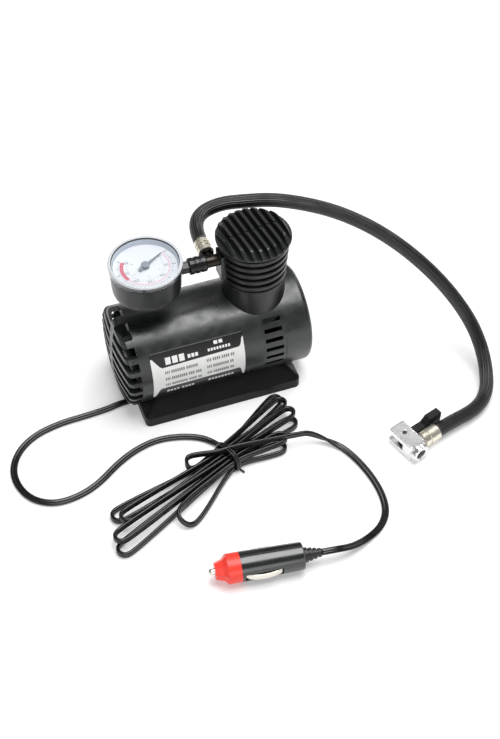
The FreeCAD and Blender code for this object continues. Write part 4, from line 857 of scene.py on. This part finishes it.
def band_mesh(name, inner, outer, first, last):
    """A flat band round the dial between two shares of the scale."""
    bm = bmesh.new()
    start = math.radians(dial_angle(first))
    square = [bm.verts.new((r * math.cos(start) * MM, r * math.sin(start) * MM, z * MM))
              for r, z in ((inner, 0), (outer, 0), (outer, PRINT), (inner, PRINT))]
    face = bm.faces.new(square)
    bmesh.ops.spin(bm, geom=[face], cent=(0, 0, 0), axis=(0, 0, 1), steps=int(STEPS * (last - first)),
                   angle=-math.radians(SWEEP * (last - first)), use_merge=False, use_duplicate=False)
    bmesh.ops.recalc_face_normals(bm, faces=bm.faces)
    bmesh.ops.translate(bm, verts=bm.verts, vec=mm(*DIAL_AT, DIAL_TOP))
    return mesh_from(bm, name)


def ticks_mesh(name, places):
    """Short strokes on the dial: (share of the scale, inner, outer, width)."""
    bm = bmesh.new()
    for share, inner, outer, width in places:
        made = bmesh.ops.create_cube(bm, size=1.0)["verts"]
        bmesh.ops.scale(bm, verts=made, vec=mm(outer - inner, width, PRINT))
        bmesh.ops.translate(bm, verts=made, vec=mm((outer + inner) / 2, 0, PRINT / 2))
        bmesh.ops.rotate(bm, verts=made, cent=(0, 0, 0),
                         matrix=Matrix.Rotation(math.radians(dial_angle(share)), 3, "Z"))
    bmesh.ops.translate(bm, verts=bm.verts, vec=mm(*DIAL_AT, DIAL_TOP))
    return mesh_from(bm, name)


def print_finish(name, color, rough, grain=0.4, mottle=0.05, depth=0.003, round_edge=0.01):
    """Ink or paper: even and smooth, with sharp edges."""
    return finish(name, color, rough, grain=grain, depth=depth, mottle=mottle, round_edge=round_edge)


dial_paper = print_finish("dial_paper", (0.62, 0.63, 0.66), 0.45, mottle=0.03, round_edge=0.25)
# The inks are painted paler than printed: a painted reflection of the clear cap that lies over them.
red_ink_and_painted_reflection = print_finish("red_ink_and_painted_reflection", (0.52, 0.13, 0.17), 0.4)
pink_ink_and_painted_reflection = print_finish("pink_ink_and_painted_reflection", (0.64, 0.42, 0.50), 0.4)
grey_ink_and_painted_reflection = print_finish("grey_ink_and_painted_reflection", (0.12, 0.14, 0.155), 0.4)
needle_paint = finish("needle_paint", (0.21, 0.235, 0.27), 0.32, grain=0.4, depth=0.004, mottle=0.08)
dress_part("gauge_dial", dial_paper)
dress_part("gauge_needle", needle_paint)

new_piece("dial_red_band", band_mesh("dial_red_band", *RED_BAND, RED_FROM, 1.0), red_ink_and_painted_reflection)
new_piece("dial_pink_band", band_mesh("dial_pink_band", *PINK_BAND, 0.0, RED_FROM), pink_ink_and_painted_reflection)
marks = []
for k in range(STEPS + 1):
    outer, width = LONG_TICK if k % 10 == 0 else MIDDLE_TICK if k % 5 == 0 else SHORT_TICK
    marks.append((k / STEPS, TICK_FROM, outer, width))
for k in range(INNER_STEPS + 1):
    marks.append((k / INNER_STEPS, INNER_SHORT if k % 5 else INNER_LONG, INNER_TO, INNER_WIDTH))
new_piece("dial_ticks", ticks_mesh("dial_ticks", marks), grey_ink_and_painted_reflection)
print("ticks", len(marks))

# %% [markdown]
# The numbers are plain text turned into a mesh. The dial's own upright points to the front of the pump,
# so its numbers stand on their heads for a viewer in front, as on the real gauge, whose scale opens to
# the back.

# %% Numbers
OUTER_NUMBERS_AT, OUTER_SIZE = 14.6, 3.3
INNER_NUMBERS_AT, INNER_SIZE = 9.8, 1.9
TOUCHING = 1e-7


def number_mesh(text, size):
    """One plain number as a thin mesh about the origin."""
    font = bpy.data.curves.new("number", "FONT")
    font.body = text
    font.size = size * MM
    font.align_x = "CENTER"
    font.align_y = "CENTER"
    font.resolution_u = 3
    font.extrude = PRINT / 2 * MM
    carrier = bpy.data.objects.new("number", font)
    scene.collection.objects.link(carrier)
    letters = bpy.data.meshes.new_from_object(carrier)
    bpy.data.objects.remove(carrier)
    bpy.data.curves.remove(font)
    return letters


def number_piece(name, entries, size, material):
    """Plain numbers as one flat piece: (text, share of the scale, radius)."""
    bm = bmesh.new()
    half_turn = Matrix.Rotation(math.pi, 4, "Z")
    for text, share, radius in entries:
        letters = number_mesh(text, size)
        x, y = polar(radius, dial_angle(share))
        at = mm(DIAL_AT[0] + x, DIAL_AT[1] + y, DIAL_TOP + PRINT / 2)
        letters.transform(Matrix.Translation(at) @ half_turn)
        bm.from_mesh(letters)
        bpy.data.meshes.remove(letters)
    bmesh.ops.remove_doubles(bm, verts=bm.verts, dist=TOUCHING)
    bmesh.ops.recalc_face_normals(bm, faces=bm.faces)
    new_piece(name, mesh_from(bm, name), material)


outer_numbers = [(str(50 * k), k / 6, OUTER_NUMBERS_AT) for k in range(7)]
inner_numbers = [(str(5 * k), k / 4, INNER_NUMBERS_AT) for k in range(5)]
number_piece("dial_numbers", outer_numbers, OUTER_SIZE, grey_ink_and_painted_reflection)
number_piece("dial_small_numbers", inner_numbers, INNER_SIZE, red_ink_and_painted_reflection)
print("numbers", [text for text, _, _ in outer_numbers + inner_numbers])

# %% [markdown]
# The dial is a shallow cup: its edge turns up and lines the case as a pale ring. Round the top of the clear
# cap a thin pale ring paints the fine white line of a highlight on its rim. Both are closed outlines of
# (radius, height) that are turned once round the gauge's axis, and spin merges the last copy with the first.

# %% Rings of the gauge
RING_STEPS = 120


def turned_ring(name, outline):
    """An outline of (radius, height) corners turned once round the gauge's axis."""
    bm = bmesh.new()
    corners = [bm.verts.new(mm(r, 0, z)) for r, z in outline]
    edges = [bm.edges.new((a, b)) for a, b in zip(corners, corners[1:] + corners[:1])]
    bmesh.ops.spin(bm, geom=edges, cent=(0, 0, 0), axis=(0, 0, 1), angle=math.tau, steps=RING_STEPS,
                   use_merge=True, use_duplicate=False)
    bmesh.ops.remove_doubles(bm, verts=bm.verts, dist=TOUCHING)
    bmesh.ops.recalc_face_normals(bm, faces=bm.faces)
    bmesh.ops.translate(bm, verts=bm.verts, vec=mm(*DIAL_AT, 0))
    return mesh_from(bm, name)


ring_paint = finish("ring_paint", (0.42, 0.46, 0.52), 0.35, grain=0.5, depth=0.003, mottle=0.04)
# A painted highlight: the cap rim's fine white line, given as a pale colour on a thin ring.
cap_rim_painted_highlight = finish("cap_rim_painted_highlight", (0.60, 0.62, 0.65), 0.30, grain=0.4, depth=0.006, mottle=0.06)
cup_outline = [(22.7, 121.21), (23.5, 121.21), (23.5, 125.3), (23.35, 125.3)]
edge_outline = [(26.11, 125.5), (26.15, 125.5), (26.15, 126.12), (25.89, 126.79), (25.22, 127.05),
                (23.9, 127.05), (23.9, 127.01), (25.2, 127.01), (25.85, 126.76), (26.11, 126.1)]
new_piece("dial_ring", turned_ring("dial_ring", cup_outline), ring_paint)
new_piece("lens_edge", turned_ring("lens_edge", edge_outline), cap_rim_painted_highlight)
print("rings made")

# %% [markdown]
# ## The label
#
# A printed foil label is stuck on the front of the drum. It is black above and below, with a white field
# between that flares out to the full height at both ends. The words on it are left out: plain blocks
# stand in their place. Each printed shape starts as one flat face, is cut into narrow strips with
# bisect_plane so that it can bend, and then every vertex is moved from (length along the drum, angle
# round it) onto the drum.

# %% Bend flat print onto the drum
DRUM_Z = 40.0
DRUM_RADIUS = 37.0
STRIP = 3.0


def on_drum(x, angle, height):
    """A place on the drum's front: x along it, angle above the level, height above its skin."""
    r = DRUM_RADIUS + height
    a = math.radians(angle)
    return mm(x, -r * math.cos(a), DRUM_Z + r * math.sin(a))


def label_piece(name, outlines, layer, material):
    """Flat outlines of (x, angle) corners, bent round the drum as a layer of (height above it, thickness)."""
    height, thickness = layer
    bm = bmesh.new()
    for outline in outlines:
        bm.faces.new([bm.verts.new((x, angle, 0)) for x, angle in outline])
    angles = [vertex.co.y for vertex in bm.verts]
    cut = min(angles) + STRIP
    while cut < max(angles):
        geometry = bm.verts[:] + bm.edges[:] + bm.faces[:]
        bmesh.ops.bisect_plane(bm, geom=geometry, plane_co=(0, cut, 0), plane_no=(0, 1, 0))
        cut += STRIP
    bmesh.ops.triangulate(bm, faces=bm.faces)
    for vertex in bm.verts:
        vertex.co = on_drum(vertex.co.x, vertex.co.y, height)
    bmesh.ops.recalc_face_normals(bm, faces=bm.faces)
    first_face = bm.faces[:][0]
    middle = first_face.calc_center_median()
    if first_face.normal.dot(middle - mm(middle.x / MM, 0, DRUM_Z)) < 0:
        bmesh.ops.reverse_faces(bm, faces=bm.faces)
    bmesh.ops.solidify(bm, geom=bm.faces[:], thickness=thickness * MM)
    mesh = mesh_from(bm, name)
    mesh.shade_flat()
    new_piece(name, mesh, material)


def label_finish(name, color, rough, grain=0.6, mottle=0.05, depth=0.003):
    """The label's inks, a little coarser than the dial's."""
    return print_finish(name, color, rough, grain, mottle, depth, round_edge=0.02)


label_black = label_finish("label_black", (0.012, 0.012, 0.012), 0.30, mottle=0.1, depth=0.004)
label_white = label_finish("label_white", (0.88, 0.89, 0.87), 0.34, depth=0.004)
label_grey = label_finish("label_grey", (0.20, 0.21, 0.20), 0.35)
label_rim = label_finish("label_rim", (0.16, 0.17, 0.17), 0.3)
print("strips of the label are", STRIP, "degrees high")

# %% The label's sheet and its white field
# The label's layers, each with its height above the drum's skin and its thickness
SHEET, FIELD, INK = (0.06, 0.05), (0.10, 0.03), (0.14, 0.02)
LEFT, RIGHT, TOP, BOTTOM = -51.6, 18.6, 40.5, -28.0


def end_points(x, from_angle, to_angle, steps=6):
    """Places up or down one straight end of the white field."""
    return [(x, from_angle + (to_angle - from_angle) * k / steps) for k in range(steps + 1)]


sheet = [(LEFT, TOP), (LEFT, BOTTOM), (RIGHT, BOTTOM), (RIGHT, TOP)]
label_piece("label_sheet", [sheet], SHEET, label_black)

white_field = [(-51.2, 34.5), (-50.0, 34.0), (-47.5, 28.5), (-45.3, 23.5), (-43.6, 21.4)]
white_field += [(14.2, 23.4), (15.6, 24.8), (16.6, 28.5), (17.3, 33.0), (18.3, 34.8)]
white_field += end_points(18.5, 34.0, -24.0)
white_field += [(18.3, -25.5), (17.2, -24.0), (16.2, -16.5), (15.2, -9.6), (14.0, -7.2)]
white_field += [(-45.2, -8.7), (-46.6, -11.0), (-48.0, -17.0), (-49.2, -24.5), (-50.6, -26.2)]
white_field += end_points(-51.3, -24.0, 33.0)
label_piece("label_field", [white_field], FIELD, label_white)
print("white field has", len(white_field), "corners")

# %% [markdown]
# The blocks that stand in for words are dealt out by dice with a fixed seed, so they fall the same way
# every time. A row is a run of narrow upright blocks, with a wider space after every few of them, as
# between words.

# %% Blocks in place of words
dice = random.Random(7)


def bar(x0, x1, middle, half):
    """A plain block from x0 to x1, with its middle and half its height as angles."""
    return [(x0, middle - half), (x1, middle - half), (x1, middle + half), (x0, middle + half)]


def row(x0, x1, middle, half, letter, gap, space):
    """A row of small upright blocks, in groups like words."""
    blocks, x, left = [], x0, dice.randint(4, 8)
    while x + letter <= x1:
        blocks.append(bar(x, x + letter, middle, half))
        left -= 1
        x += letter + (gap if left else space)
        left = left or dice.randint(3, 8)
    return blocks


field_marks = []
for x0, split, x1, high_row in ((-42.0, -38.2, -14.5, 14.6), (-10.6, -6.8, 11.8, 16.6)):
    for k in range(3):
        field_marks += row(x0, split, high_row - 9 * k, 1.9, 0.8, 0.5, 0.5)
        field_marks += row(split + 0.8, x1 - dice.uniform(0, 2.5), high_row - 9 * k, 1.9, 1.05, 0.45, 1.3)
label_piece("label_grey_marks", field_marks, INK, label_grey)
band_marks = [bar(-40.6 + 5.2 * k, -36.6 + 5.2 * k, 28.4, 4.2) for k in range(3)]
band_marks += row(-23.8, -15.6, 27.8, 2.2, 2.1, 0.7, 0.7)
band_marks += [bar(-3.4, -0.6, 35.5, 2.0), bar(0.4, 3.2, 35.5, 2.0)]
band_marks += row(-8.6, 11.6, 28.6, 1.6, 1.5, 0.7, 1.8)
band_marks += row(-41.0, -17.8, -17.0, 2.1, 1.7, 0.8, 2.0)
band_marks += row(-9.6, 11.0, -15.8, 2.1, 1.7, 0.8, 2.0)
label_piece("label_white_marks", band_marks, FIELD, label_white)
label_piece("label_top_line", [bar(LEFT + 0.3, RIGHT - 0.3, TOP - 0.6, 0.35)], FIELD, label_rim)
print("blocks", len(field_marks) + len(band_marks))
